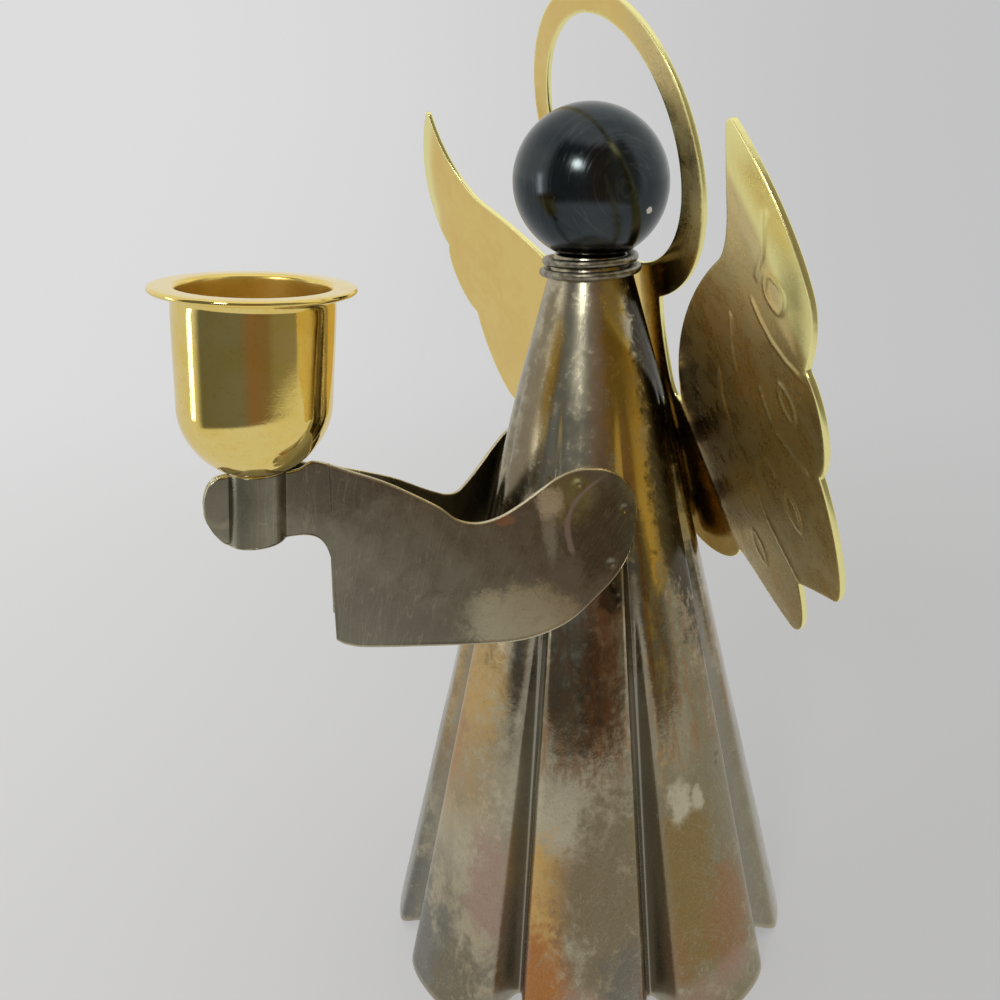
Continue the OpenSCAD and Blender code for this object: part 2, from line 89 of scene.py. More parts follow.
def fanFaces(ring, middle):
    # triangles from each edge of a closed ring to one middle point
    return np.stack([ring, np.roll(ring, -1), np.full(len(ring), middle)], -1)


def tubeFaces(rows, cols):
    # a grid and a fan over each end, to the two middle points that follow the grid's own
    ring = np.arange(cols)
    return [gridFaces(rows, cols), fanFaces(ring[::-1], rows * cols),
            fanFaces(ring + (rows - 1) * cols, rows * cols + 1)]


def edgeSteps(thick, edge):
    # a sheet's rounded edge from one skin to the other: reach sin a in shares of the rounding, and height
    # thick / 2 - edge (1 - cos a)
    steps = [(math.sin(a), thick / 2 - edge * (1 - math.cos(a))) for a in np.radians([30, 60, 90])]
    return steps + [(grow, -height) for grow, height in steps[::-1]]


def makePiece(name, points, faceSets, finish, body, nodes, rubbedAndHighlit=None):
    # a mesh from whole arrays; the faces turn round if the volume they close comes out negative, and
    # rubbedAndHighlit marks the points along a sheet's worn edges, which the arm and wing finishes also paint with a
    # highlight
    points = toRow(points)
    middle = points.mean(0)
    volume = 0
    for faces in faceSets:
        p = points[faces] - middle
        for k in range(1, faces.shape[1] - 1):
            volume += np.einsum("ij,ij->i", p[:, 0], np.cross(p[:, k], p[:, k + 1])).sum()
    if volume < 0:
        faceSets = [faces[:, ::-1] for faces in faceSets]
    mesh = bpy.data.meshes.new(name)
    mesh.from_pydata(points.tolist(), [], [f for faces in faceSets for f in faces.tolist()])
    mesh.polygons.foreach_set("use_smooth", np.ones(len(mesh.polygons), bool))
    if rubbedAndHighlit is not None:
        mesh.attributes.new("wear", "FLOAT", "POINT").data.foreach_set("value", rubbedAndHighlit.astype(np.float32))
    mesh.materials.append(finish)
    mesh.validate()
    piece = bpy.data.objects.new(name, mesh)
    bpy.context.scene.collection.objects.link(piece)
    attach(piece, body)
    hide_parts(*nodes)
    print("made", name, len(mesh.polygons), "faces")


def turned(profile, columns):
    # a profile of radius and height spun round the axis: x = r sin a, y = -r cos a, z = h
    ring = polar(np.ones(columns), np.linspace(0, 360, columns, endpoint=False))
    profile = np.asarray(profile, float)
    return np.concatenate([profile[:, None, :1] * ring[None], np.repeat(profile[:, None, 1:], columns, 1)], -1)


def arcPoints(centre, rx, ry, first, last, steps):
    # points on part of an ellipse, angles in degrees
    a = np.radians(np.linspace(first, last, steps + 1))
    return np.stack([centre[0] + rx * np.cos(a), centre[1] + ry * np.sin(a)], -1)


def fill(node, sockets):
    # puts wires, or plain values, on a node's sockets
    for key, value in sockets.items():
        if isinstance(value, Wire):
            value.tree.links.new(value.socket, node.inputs[key])
        else:
            node.inputs[key].default_value = value


class Wire:
    # one output socket of a node tree; sums written on it add Math nodes

    def __init__(self, tree, socket):
        self.tree = tree
        self.socket = socket

    def node(self, kind, settings=None, sockets=None, out=0):
        # any other node: its settings first, then the values or wires of its sockets
        made = self.tree.nodes.new(kind)
        for key, value in (settings or {}).items():
            if key == "stops":
                ramp = made.color_ramp
                while len(ramp.elements) < len(value):
                    ramp.elements.new(0.5)
                for element, (place, colour) in zip(ramp.elements, value):
                    element.position = place
                    element.color = (*colour, 1)
            else:
                setattr(made, key, value)
        fill(made, sockets or {})
        return Wire(self.tree, made.outputs[out])

    def sum(self, kind, *values, clamp=False):
        return self.node("ShaderNodeMath", {"operation": kind, "use_clamp": clamp}, dict(enumerate(values)))

    def __add__(self, other):
        return self.sum("ADD", self, other)

    def __radd__(self, other):
        return self.sum("ADD", other, self)

    def __sub__(self, other):
        return self.sum("SUBTRACT", self, other)

    def __rsub__(self, other):
        return self.sum("SUBTRACT", other, self)

    def __mul__(self, other):
        return self.sum("MULTIPLY", self, other)

    def __rmul__(self, other):
        return self.sum("MULTIPLY", other, self)

    def __truediv__(self, other):
        return self.sum("DIVIDE", self, other)

    def __pow__(self, other):
        return self.sum("POWER", self, other)

    def high(self, other):
        return self.sum("MAXIMUM", self, other)

    def size(self):
        return self.sum("ABSOLUTE", self)

    def root(self):
        return self.sum("SQRT", self)

    def clamped(self):
        return self.sum("ADD", self, 0, clamp=True)

    def swing(self, amount):
        # noise about its middle value, times an amount
        return (self - 0.5) * amount

    def ease(self, low, high, toLow=0, toHigh=1):
        # smooth step of this value from low to high
        return self.node("ShaderNodeMapRange", {"interpolation_type": "SMOOTHSTEP"},
                         {0: self, 1: low, 2: high, 3: toLow, 4: toHigh})

    def between(self, rise, fall):
        # 1 between two limits: up over the span rise and down again over the span fall
        return self.ease(*rise) * self.ease(*fall, 1, 0)

    def scaled(self, amount):
        # a vector times a number, or times one number for each axis
        if isinstance(amount, tuple):
            return self.node("ShaderNodeVectorMath", {"operation": "MULTIPLY"}, {0: self, 1: amount})
        return self.node("ShaderNodeVectorMath", {"operation": "SCALE"}, {0: self, "Scale": amount})

    def moved(self, amount):
        return self.node("ShaderNodeVectorMath", {"operation": "ADD"}, {0: self, 1: amount})

    def noise(self, scale, detail=3, rough=0.55, twist=0):
        # fractal noise of this vector, about 0.3 to 0.7
        return self.node("ShaderNodeTexNoise", None,
                         {"Vector": self, "Scale": scale, "Detail": detail, "Roughness": rough, "Distortion": twist})

    def mixed(self, first, second):
        # first where this value is 0 and second where it is 1
        first, second = (v if isinstance(v, Wire) else (*v, 1) for v in (first, second))
        return self.node("ShaderNodeMix", {"data_type": "RGBA"}, {0: self, 6: first, 7: second}, out=2)


def newMaterial(name):
    # a material with a Principled shader, and its Object coordinates in metres
    material = bpy.data.materials.new(name)
    material.use_nodes = True
    tree = material.node_tree
    return material, Wire(tree, tree.nodes.new("ShaderNodeTexCoord").outputs["Object"])


def startFinish(name):
    # a new material, and its place in millimetres on the robe's axis
    material, place = newMaterial(name)
    return material, place.scaled(1 / millimetre).moved((0, -axisShift, 0))


def finished(material, colour, rough, height, depth, strength=0.5, metallic=1):
    # the shader's sockets, with a bump whose height is in shares of a depth in millimetres
    normal = height.node("ShaderNodeBump", None,
                         {"Strength": strength, "Distance": depth * millimetre, "Height": height})
    fill(material.node_tree.nodes["Principled BSDF"],
         {"Base Color": colour, "Metallic": metallic, "Roughness": rough, "Normal": normal})
    return material


def split(vector):
    made = vector.tree.nodes.new("ShaderNodeSeparateXYZ")
    vector.tree.links.new(vector.socket, made.inputs[0])
    return [Wire(vector.tree, made.outputs[k]) for k in range(3)]


def azimuth(x, y):
    # degrees from the front, turning to the angel's left
    return x.sum("ARCTAN2", x, y * -1) * (180 / math.pi)


def wear(place):
    # 1 along a sheet's rubbed edges and the wing's painted highlight strip, from the mesh's own attribute
    return place.node("ShaderNodeAttribute", {"attribute_name": "wear"}, None, out=2)


def scratches(place, scale, thin, turns):
    # long thin lines: noise stretched 33 to 1 along each turned direction, kept only near one value
    total = None
    for k, turn in enumerate(turns):
        lines = place.node("ShaderNodeMapping", None,
                           {0: place, "Rotation": turn, "Scale": (scale, scale * 0.03, scale * 0.03)})
        near = lines.noise(1.0, 1, 0.4, 0.3) - (0.47 + 0.03 * k)
        line = (1 - near.size() * (1 / thin)).high(0)
        total = line if total is None else total.high(line)
    return total


def layered(colour, *layers):
    # lays shades over a colour one after another, each where its own mask is 1
    for mask, shade in layers:
        colour = mask.mixed(colour, shade)
    return colour


def zoned(colour, zones, tone, x, y, wobble, soft, within=None):
    # lays ovals over a colour: whole in the middle, none outside, with an edge moved by the wobble
    for middleX, middleY, reachX, reachY, name, depth in zones:
        dx, dy = (x - middleX) * (1 / reachX), (y - middleY) * (1 / reachY)
        share = ((dx * dx + dy * dy).root() + wobble).ease(1 - soft, 1 + soft, 1, 0)
        share = share if within is None else share * within
        colour = (share * depth).mixed(colour, tone[name])
    return colour


# noise scale, the span it is cut to, dark and light shade, roughness and its change, bump and its strength
plainMetals = {
    "tarnishedWire": (0.9, (0.4, 0.6), (0.20, 0.18, 0.135), (0.36, 0.33, 0.26), 0.36, 0.2, 0.06, 0.5),
    "plainSteel": (1.5, (0.35, 0.65), (0.42, 0.41, 0.39), (0.60, 0.59, 0.57), 0.28, 0.3, 0.05, 0.5),
    "dullSolder": (1.1, (0.35, 0.65), (0.33, 0.32, 0.30), (0.55, 0.54, 0.51), 0.42, 0.3, 0.15, 0.8),
}


def plainFinish(name):
    # one metal with a fine mottle in its colour, roughness and bump
    scale, span, dark, light, rough, change, depth, strength = plainMetals[name]
    material, place = startFinish(name)
    grain = place.noise(scale, 4, 0.6)
    colour = grain.ease(*span).mixed(dark, light)
    return finished(material, colour, rough + grain.swing(change), grain, depth, strength)


robe = {
    "height": 142.6, "hemRadius": 41.5, "bodiceHeight": 115, "bodiceRadius": 14.6, "neckRadius": 7, "sheet": 0.8,
    "flutes": 8, "fluteDepth": 7.75, "fluteTop": 121, "fluteTurn": -6.5, "fluteWidth": 3.9, "fluteRate": 1.3,
    "hemRise": 3.2, "hemReach": 6.5, "hemBlend": 22, "hemRub": 0.3, "crown": 0.05, "edge": 0.25,
    "dent": 0.035, "dentWave": 17, "columns": 44, "crowd": 1.7, "rows": 112, "innerRows": 44,
    # heights and azimuths between which the finish changes
    "skirtFade": (72, 112), "streakRise": (47, 52), "streakFall": (78, 90), "streakTurn": (34, 42),
    "polishRise": (45, 55), "polishFall": (74, 92), "rough": 0.225,
}
flutePitch = 360 / robe["flutes"]
silverTone = {
    "clean": (0.46, 0.40, 0.275), "grey": (0.285, 0.25, 0.175), "amber": (0.62, 0.40, 0.14),
    "slate": (0.17, 0.168, 0.15), "violet": (0.42, 0.28, 0.22), "rose": (0.45, 0.19, 0.06),
    "rub": (0.59, 0.525, 0.375), "umber": (0.40, 0.30, 0.18), "dimAmber": (0.28, 0.185, 0.065),
    "dimRose": (0.31, 0.17, 0.075), "line": (0.06, 0.05, 0.035), "dim": (0.25, 0.21, 0.12),
    "upper": (0.62, 0.58, 0.44), "paintedWingReflection": (0.62, 0.42, 0.10), "shade": (0.23, 0.18, 0.105),
    "fluteShade": (0.30, 0.285, 0.235), "ink": (0.016, 0.014, 0.012),
}
robeZones = [
    # azimuth and height of the middle, reach both ways, tone, depth
    (1, 60, 20, 28, "amber", 0.85), (12, 42, 16, 12, "umber", 0.55), (16, 31, 18, 8, "rub", 0.4),
    (30, 25, 11, 10, "violet", 0.8), (6, 7, 26, 12, "slate", 0.85), (22, 8, 9, 8, "shade", 0.6),
    (-22, 30, 12, 40, "slate", 0.6), (-2, 47, 9, 9, "rose", 0.35), (55, 44, 24, 9, "rub", 0.75),
    (46, 27, 9.5, 13, "amber", 1), (56, 30, 8, 8, "dimRose", 0.5), (48, 10, 11, 12, "rose", 1),
    (40, 17, 4, 8, "violet", 0.8), (68, 26, 13, 20, "shade", 0.9), (74, 12, 9, 9, "slate", 0.7),
    (60, 8, 7, 5, "violet", 0.6), (104, 45, 26, 62, "dim", 0.9), (94, 26, 13, 17, "dimAmber", 0.85),
    (110, 18, 10, 9, "dimRose", 0.9), (84, 12, 8, 8, "dimRose", 0.8), (100, 7, 16, 3, "violet", 0.5),
    (96, 58, 9, 12, "clean", 0.4), (95, 43, 4.5, 3.2, "rub", 0.95), (103, 42.5, 2.5, 2.2, "rub", 0.85),
    (140, 30, 20, 45, "grey", 0.8), (55, 66, 19, 13, "shade", 0.8), (62, 66, 5, 12, "line", 0.5),
    # the pale oval high on the front is a painted highlight, and the gold one beside it a painted reflection of the
    # near wing
    (12, 106, 13, 34, "shade", 0.85), (49, 118, 20, 36, "upper", 0.8), (88, 108, 13, 36, "paintedWingReflection", 0.85),
    (-60, 40, 30, 28, "amber", 0.6), (-108, 28, 26, 20, "violet", 0.5), (-150, 60, 26, 26, "shade", 0.6),
    (-40, 92, 34, 22, "shade", 0.5), (158, 66, 15, 24, "grey", 0.6), (-96, 66, 20, 16, "rub", 0.4),
    (-75, 10, 14, 9, "rose", 0.6), (-128, 12, 10, 9, "dimAmber", 0.6), (-157, 24, 14, 34, "grey", 0.75),
    (-162, 52, 11, 14, "dim", 0.6), (-155, 6, 13, 7, "slate", 0.6),
]
robeStains = [
    (133, 122, 19, 26, "ink", 0.97), (116, 102, 12, 28, "line", 0.85), (79, 85, 6, 4.5, "ink", 0.75),
    (72, 82, 5, 2.2, "ink", 0.6), (90, 88, 4, 7, "line", 0.5),
]


def robeRadius(z):
    # two straight slopes: hem to bodice and bodice to neck
    r = robe
    low = r["hemRadius"] + (r["bodiceRadius"] - r["hemRadius"]) * z / r["bodiceHeight"]
    share = (z - r["bodiceHeight"]) / (r["height"] - r["bodiceHeight"])
    high = r["bodiceRadius"] + (r["neckRadius"] - r["bodiceRadius"]) * share
    return np.where(z < r["bodiceHeight"], low, high)


def offFlute(a):
    # degrees from the nearest flute
    w = (a - robe["fluteTurn"]) / flutePitch
    return np.abs(w - np.round(w)) * flutePitch


def skirtRadius(a, z):
    # the slope less a narrow bell-shaped flute and a slight fall from each lobe's crest
    r = robe
    off = offFlute(a)
    cut = r["fluteDepth"] * np.maximum(0, 1 - z / r["fluteTop"]) ** r["fluteRate"]
    bell = np.exp(-(off / r["fluteWidth"]) ** 2)
    return robeRadius(z) - cut * (bell + r["crown"] * (1 - 2 * off / flutePitch) ** 2)


def robeFinish():
    # silver plate under a tarnish film: amber, rose and violet clouds low on the lobes, grey and pale where
    # it was rubbed, brown high up with a painted pale highlight and a painted gold reflection of the near wing,
    # fine wipe marks down the sheet, dark dirt, more of it low down, and a grey painted shade in the flutes
    material, place = startFinish("tarnishedRobe")
    x, y, z = split(place)
    turn = azimuth(x, y)
    cloud = place.scaled((1, 1, 0.45)).noise(0.075, 4, 0.6, 0.3)
    patchy = place.noise(0.20, 5, 0.66, 0.2)
    mottle = place.noise(0.8, 5, 0.72, 0.1)
    speck = place.noise(3.2, 3, 0.6)
    streak = place.scaled((1, 1, 0.05)).noise(0.9, 3, 0.6).ease(0.44, 0.60)
    dirt = place.noise(1.5, 5, 0.8).ease(0.56, 0.70)
    lines = scratches(place, 1.6, 0.010, [(0, 0, 0.5), (0.2, 1.45, 0.3), (0.1, 1.35, 1.2)])
    worn = (mottle * 0.6 + patchy * 0.4).ease(0.52, 0.66)
    wobble = cloud.swing(1.8) + patchy.swing(1.8) + mottle.swing(0.9)
    lower = 1 - z.ease(*robe["skirtFade"])
    lobe = turn * (1 / flutePitch) - robe["fluteTurn"] / flutePitch
    # 1 in the flutes' valleys, where a grey painted shade goes low on the skirt
    fluteShade = (lobe.sum("FRACT", lobe) - 0.5).size().ease(0.35, 0.46)
    tone = silverTone
    colour = patchy.ease(0.38, 0.62).mixed(tone["grey"], tone["clean"])
    colour = zoned(colour, robeZones, tone, turn, z, wobble, 0.4)
    streak = streak * z.between(robe["streakRise"], robe["streakFall"]) * turn.ease(*robe["streakTurn"])
    colour = layered(colour, (streak * 0.6, tone["dimRose"]), (worn * (0.06 + lower * 0.10), tone["rub"]),
                     (speck.ease(0.52, 0.70) * (0.06 + lower * 0.14), tone["rub"]),
                     (dirt * (0.10 + lower * 0.32), tone["line"]))
    colour = zoned(colour, robeStains, tone, turn, z, wobble * 1.4, 0.3)
    # the grey painted shade in the flutes, then scratches and rubbed edges
    colour = layered(colour, (fluteShade * lower * 0.85, tone["fluteShade"]), (lines * 0.13, tone["rub"]),
                     (wear(place) * 0.5, tone["rub"]))
    polished = z.between(robe["polishRise"], robe["polishFall"])
    rough = robe["rough"] - polished * 0.10 + patchy.swing(0.22) + worn * (1 - polished) * 0.10 + mottle.swing(0.10)
    height = patchy * (0.4 + lower * 0.35) + mottle * (0.04 + lower * 0.12) + speck * 0.02 * lower - lines * 0.03
    return finished(material, colour, rough.high(0.11), height, 0.10)


def robeSkin():
    # outer wall, rounded neck edge, inner wall and rounded hem edge, as one loop carried round the axis
    r = robe
    t = np.arange(-r["columns"] // 2, r["columns"] // 2) * 2 / r["columns"]
    a = np.concatenate([r["fluteTurn"] + flutePitch * (f + np.sign(t) * np.abs(t) ** r["crowd"] / 2)
                        for f in range(r["flutes"])])
    e, s, top = r["edge"], r["sheet"], r["height"]
    # each point of the loop is a height and a depth into the sheet
    up, down = np.linspace(e, top - e, r["rows"]), np.linspace(top - e, e, r["innerRows"])
    neckOut, neckIn, hemIn, hemOut = (arcPoints(middle, e, e, first, first + 90, 4) for middle, first in (
        ((top - e, e), -90), ((top - e, s - e), 0), ((e, s - e), 90), ((e, e), 180)))
    profile = np.concatenate([np.stack([up, 0 * up], -1), neckOut[1:], neckIn[:-1],
                              np.stack([down, s + 0 * down], -1), hemIn[1:], hemOut[:-1]])
    z, inset = np.repeat(profile[:, :1], len(a), 1), np.repeat(profile[:, 1:], len(a), 1)
    turn = np.repeat(a[None], len(profile), 0)
    # the hem rises beside each flute, so that the lobes end in rounded corners
    rise = r["hemRise"] * np.exp(-(offFlute(turn) / r["hemReach"]) ** 2)
    z = z + rise * np.maximum(0, 1 - z / r["hemBlend"]) ** 2
    step = 0.05
    way = polar(skirtRadius(turn + step, z), turn + step) - polar(skirtRadius(turn - step, z), turn - step)
    out = unit(np.stack([way[..., 1], -way[..., 0]], -1))
    p = polar(skirtRadius(turn, z), turn)
    fade = np.sin(np.pi * np.clip(z / top, 0, 1)) ** 0.5
    dent = r["dent"] * (1 + ripple(np.concatenate([p, z[..., None]], -1), 5, r["dentWave"]) * fade)
    p = p - (inset + dent)[..., None] * out
    points = np.concatenate([p, z[..., None]], -1).reshape(-1, 3)
    rubbedAndHighlit = np.repeat((profile[:, 0] < r["hemRub"]) * 1.0, len(a))
    makePiece("robeSkin", points, [gridFaces(len(profile), len(a), True)], robeFinish(), "holder",
              ["robe"], rubbedAndHighlit)


robeSkin()


wire = {"diameter": 1.6, "turns": 2, "pitch": 2.1, "drop": 0.1, "endTurn": 210, "air": 0.3, "rings": 110, "sides": 20}


def hugRadius(z):
    # radius of the wire's middle where it lies round the neck
    return robeRadius(z) + wire["air"] + wire["diameter"] / 2


def wireCentre(t):
    # a helix that hugs the cone of the neck
    z = robe["height"] - wire["drop"] - wire["turns"] * wire["pitch"] + t * wire["pitch"]
    return np.concatenate([polar(hugRadius(z), wire["endTurn"] + 360 * t), z[:, None]], -1)


def neckWire():
    # a circle carried along the helix, with filed round ends
    w = wire
    half = w["diameter"] / 2
    t = np.linspace(0, w["turns"], w["turns"] * w["rings"] + 1)
    step = 0.01
    centre = wireCentre(t)
    way = unit(wireCentre(t + step) - wireCentre(t - step))
    radial = np.concatenate([polar(np.ones(len(t)), w["endTurn"] + 360 * t), np.zeros((len(t), 1))], -1)
    side = unit(np.cross(way, radial))
    out = np.cross(side, way)
    ends = np.radians([0, 25, 50, 70, 85])
    reach, small = half * (1 + np.sin(ends))[:, None], half * np.cos(ends)
    centre = np.concatenate([(centre[0] - reach * way[0])[::-1], centre, centre[-1] + reach * way[-1]])
    radius = np.concatenate([small[::-1], np.full(len(t), half), small])
    out, side = (np.concatenate([v[[0] * len(ends)], v, v[[-1] * len(ends)]]) for v in (out, side))
    a = np.linspace(0, 2 * math.pi, w["sides"], endpoint=False)
    ring = np.cos(a)[None, :, None] * out[:, None] + np.sin(a)[None, :, None] * side[:, None]
    points = (centre[:, None] + radius[:, None, None] * ring).reshape(-1, 3)
    points = np.concatenate([points, [centre[0], centre[-1]]])
    makePiece("neckWireTurns", points, tubeFaces(len(centre), w["sides"]), plainFinish("tarnishedWire"), "holder",
              ["neck_wire"])


neckWire()


ball = {
    "radius": 14.7, "rise": 0.05, "hole": 2.05, "holeDepth": 8, "holeRing": 1.5,
    "columns": 160, "rings": 110, "topTilt": 0.6,
    "chip": (109.8, -17.2), "chipReach": 0.6, "chipDepth": 0.12,  # azimuth and elevation of the nick
    "dark": (0.038, 0.047, 0.053), "light": (0.056, 0.065, 0.070), "wiped": (0.20, 0.20, 0.19),
    "bare": (0.86, 0.84, 0.78), "rough": 0.17,
}
ballHeight = robe["height"] + ball["rise"] + math.sqrt(
    ball["radius"] ** 2 - (robe["neckRadius"] - robe["sheet"]) ** 2)


def chipPlace():
    # the nick's place on the ball, from its azimuth and elevation
    a, h = np.radians(ball["chip"])
    way = np.array([np.sin(a) * np.cos(h), -np.cos(a) * np.cos(h), np.sin(h)])
    return way * ball["radius"] + [0, 0, ballHeight]


def ballFinish():
    # dark polished iron: blue-grey, with faint wipe marks, small pale nicks, and the largest nick placed
    material, place = startFinish("darkBall")
    cloud = place.noise(0.12, 4, 0.6)
    speck = place.noise(1.5, 4, 0.7)
    lines = scratches(place, 1.0, 0.008, [(0.2, 0.1, 0.5), (0.6, 1.2, 0.2), (1.3, 0.5, 1.0)])
    oval = (1, 1, 1.5)
    spot = place.node("ShaderNodeVectorMath", {"operation": "DISTANCE"},
                      {0: place.scaled(oval), 1: tuple(chipPlace() * oval)}, out=1)
    bare = (spot + place.noise(1.8, 3, 0.6).swing(1.6)).ease(0.7, 1.0, 1, 0)
    colour = cloud.ease(0.35, 0.65).mixed(ball["dark"], ball["light"])
    colour = layered(colour, (lines * 0.22 + speck.ease(0.62, 0.74) * 0.35, ball["wiped"]), (bare, ball["bare"]))
    rough = (ball["rough"] + cloud.swing(0.12) + speck.swing(0.12) + lines * 0.06 + bare * 0.3).high(0.12)
    return finished(material, colour, rough, speck * 0.35 - lines * 0.1 - bare, 0.04, metallic=1 - bare * 0.9)


def headBall():
    # a circle's arc spun round the axis, with a blind hole below for the stud and one small chip
    b = ball
    lowest = math.degrees(math.asin(b["hole"] / b["radius"]))
    tilt = np.radians(np.linspace(b["topTilt"], 180 - lowest, b["rings"]))
    profile = np.stack([b["radius"] * np.sin(tilt), b["radius"] * np.cos(tilt)], -1)
    deep = -b["radius"] + b["holeDepth"]
    profile = np.concatenate([profile, [[b["hole"], -b["radius"] + b["holeRing"]], [b["hole"], deep]]])
    points = turned(profile, b["columns"])
    far = np.linalg.norm(unit(points) * b["radius"] - chipPlace() + [0, 0, ballHeight], axis=-1)
    points = points * (1 - b["chipDepth"] / b["radius"] * np.exp(-(far / b["chipReach"]) ** 4))[..., None]
    points = np.concatenate([points.reshape(-1, 3), [[0, 0, b["radius"]], [0, 0, deep]]]) + [0, 0, ballHeight]
    makePiece("polishedBall", points, tubeFaces(len(profile), b["columns"]), ballFinish(), "holder",
              ["head_ball"])


headBall()


plate = {
    "sheet": 1, "haloRadius": 29.6, "holeRadius": 23.5, "haloOver": 6.5, "holeLift": 0.9, "haloBend": 2,
    "stemHalf": 5.5, "span": 71.94, "top": 88.2, "fold": 12.2, "foldSlant": 24.7, "beadDrop": 56.6, "beadGap": 0.5,
    "seat": 0.05, "lattice": 0.5, "latticeBox": ((-75, -9), (75, 110)), "edge": 0.22, "wave": 0.06, "waveLength": 26,
    "bendReach": 1.4, "curveSteps": 20,
    # the curled strip: its width, its turn, the heights between which it starts, and the far wing's share
    "curlWidth": 11, "curlTurn": 17, "curlRise": (52, 66), "curlFar": 0.4, "curlCurve": 6, "curlCorner": (30, 40),
    # places across between which the finish turns olive and its root granular, and heights between which
    # the olive deepens
    "sideFade": (10, 26), "rootFade": (22, 52), "oliveFade": (98, 142), "rough": 0.15,
}
brassTone = {
    "bright": (0.86, 0.61, 0.19), "warm": (0.80, 0.53, 0.12), "tarnish": (0.42, 0.32, 0.14),
    "brown": (0.25, 0.185, 0.08), "pale": (0.89, 0.66, 0.22), "olive": (0.70, 0.57, 0.27),
    "paleOlive": (0.96, 0.85, 0.52), "cup": (0.92, 0.69, 0.19), "cupPale": (0.94, 0.74, 0.26),
    "rubbedAndHighlit": (1, 0.92, 0.40),
}
# Bezier curves as two handles and an end, in shares of the span and the top: the wing's lower edge from the
# middle line outwards, its lobes, its tip, and back along the top to the crotch; then the stem, from the
# crotch up, in shares of its half width and height
wingCurves = [
    [[0.056, -0.062], [0.236, -0.08], [0.292, 0.001]], [[0.375, -0.011], [0.465, -0.066], [0.558, -0.075]],
    [[0.618, -0.062], [0.657, -0.002], [0.672, 0.092]], [[0.722, 0.109], [0.821, 0.135], [0.861, 0.145]],
    [[0.921, 0.171], [0.949, 0.329], [0.925, 0.423]], [[0.993, 0.465], [1.008, 0.584], [0.967, 0.626]],
    [[1.049, 0.726], [0.993, 0.873], [0.846, 1]], [[0.84, 1.003], [0.83, 1.0], [0.825, 0.995]],
    [[0.814, 0.913], [0.764, 0.805], [0.667, 0.755]], [[0.472, 0.675], [0.208, 0.522], [0.129, 0.331]],
    [[0.123, 0.321], [0.114, 0.317], [0.106, 0.319]],
]
stemCurves = [[[1.15, 0.02], [1, 0.07], [1, 0.17]], [[0.98, 0.42], [1.1, 0.66], [1.31, 0.79]],
              [[1.5, 0.88], [1.9, 0.92], [2.55, 0.93]]]
beadHeight = robe["height"] - plate["beadDrop"]
wireBackHeight = robe["height"] - wire["drop"] - wire["turns"] * wire["pitch"] + wire["pitch"] * (
    1 - (wire["endTurn"] - 180) / 360)
leanTop = float(hugRadius(wireBackHeight)) + wire["diameter"] / 2 + plate["seat"] + plate["sheet"] / 2
leanLow = float(robeRadius(beadHeight)) + plate["beadGap"] + plate["sheet"] / 2
plateLean = math.atan((leanLow - leanTop) / (wireBackHeight - beadHeight))
haloHinge = (wireBackHeight - beadHeight) / math.cos(plateLean)
haloRise = (ballHeight + plate["haloOver"] - beadHeight) / math.cos(plateLean)


def curveChain(start, rows, steps):
    # cubic Bezier curves end to end: p = a(1-t)^3 + 3b t(1-t)^2 + 3c t^2(1-t) + d t^3
    t = (np.arange(steps) + 1)[:, None] / steps
    parts, a = [np.array([start], float)], np.array(start, float)
    for b, c, d in np.array(rows, float):
        parts.append(a * (1 - t) ** 3 + 3 * b * t * (1 - t) ** 2 + 3 * c * t * t * (1 - t) + d * t ** 3)
        a = d
    return np.concatenate(parts)


wingEdge = curveChain([0, -0.007], wingCurves, plate["curveSteps"]) * [plate["span"], plate["top"]]
crotch = wingEdge[-1]
stemEdge = curveChain([crotch[0] / plate["stemHalf"], 0], stemCurves, plate["curveSteps"]) * [
    plate["stemHalf"], haloHinge - crotch[1]] + [0, crotch[1]]
pastMiddle = -6.0  # both half outlines go on past the middle line, so that no edge lies on it
wingOutline = np.concatenate([[[pastMiddle, wingEdge[0, 1]]], wingEdge, [[pastMiddle, crotch[1]]]])
stemOutline = np.concatenate([stemEdge, [[0, stemEdge[-1, 1]], [pastMiddle, stemEdge[-1, 1]],
                                         [pastMiddle, crotch[1] / 2], [0, crotch[1] / 2]]])


def lineDistance(line, points):
    # distance to a chain of straight edges
    a, edge = line[:-1], line[1:] - line[:-1]
    d = points[:, None] - a
    t = np.clip((d * edge).sum(-1) / np.maximum((edge ** 2).sum(-1), tiny), 0, 1)
    return np.sqrt(((d - t[..., None] * edge) ** 2).sum(-1).min(1))


def outlineDistance(outline, points, batch=4000):
    # signed distance to a closed outline, below zero inside: nearest edge, and the crossings of a ray
    line = np.concatenate([outline, outline[:1]])
    a, edge = line[:-1], line[1:] - line[:-1]
    rise = np.where(np.abs(edge[:, 1]) < tiny, tiny, edge[:, 1])
    result = np.empty(len(points))
    for first in range(0, len(points), batch):
        p = points[first:first + batch]
        x, y, near = p[:, :1], p[:, 1:], lineDistance(line, p)
        crosses = (a[:, 1] > y) != (line[1:, 1] > y)
        inside = (crosses & (x < a[:, 0] + (y - a[:, 1]) * edge[:, 0] / rise)).sum(1) % 2 == 1
        result[first:first + batch] = np.where(inside, -near, near)
    return result


def plateParts(points):
    # signed distances to the wing, the stem and the halo, alike on both sides of the middle line
    p = np.stack([np.abs(points[:, 0]), points[:, 1]], -1)
    outer = np.hypot(p[:, 0], p[:, 1] - haloRise) - plate["haloRadius"]
    hole = np.hypot(p[:, 0], p[:, 1] - haloRise - plate["holeLift"]) - plate["holeRadius"]
    return outlineDistance(wingOutline, p), outlineDistance(stemOutline, p), np.maximum(outer, -hole)


def plateDistance(points):
    # distance to the whole sheet, below zero inside
    return np.minimum.reduce(plateParts(points))


def wayOut(distance, points, step=0.01):
    # the direction in which a distance grows fastest
    gx = distance(points + [step, 0]) - distance(points - [step, 0])
    gy = distance(points + [0, step]) - distance(points - [0, step])
    return unit(np.stack([gx, gy], -1))


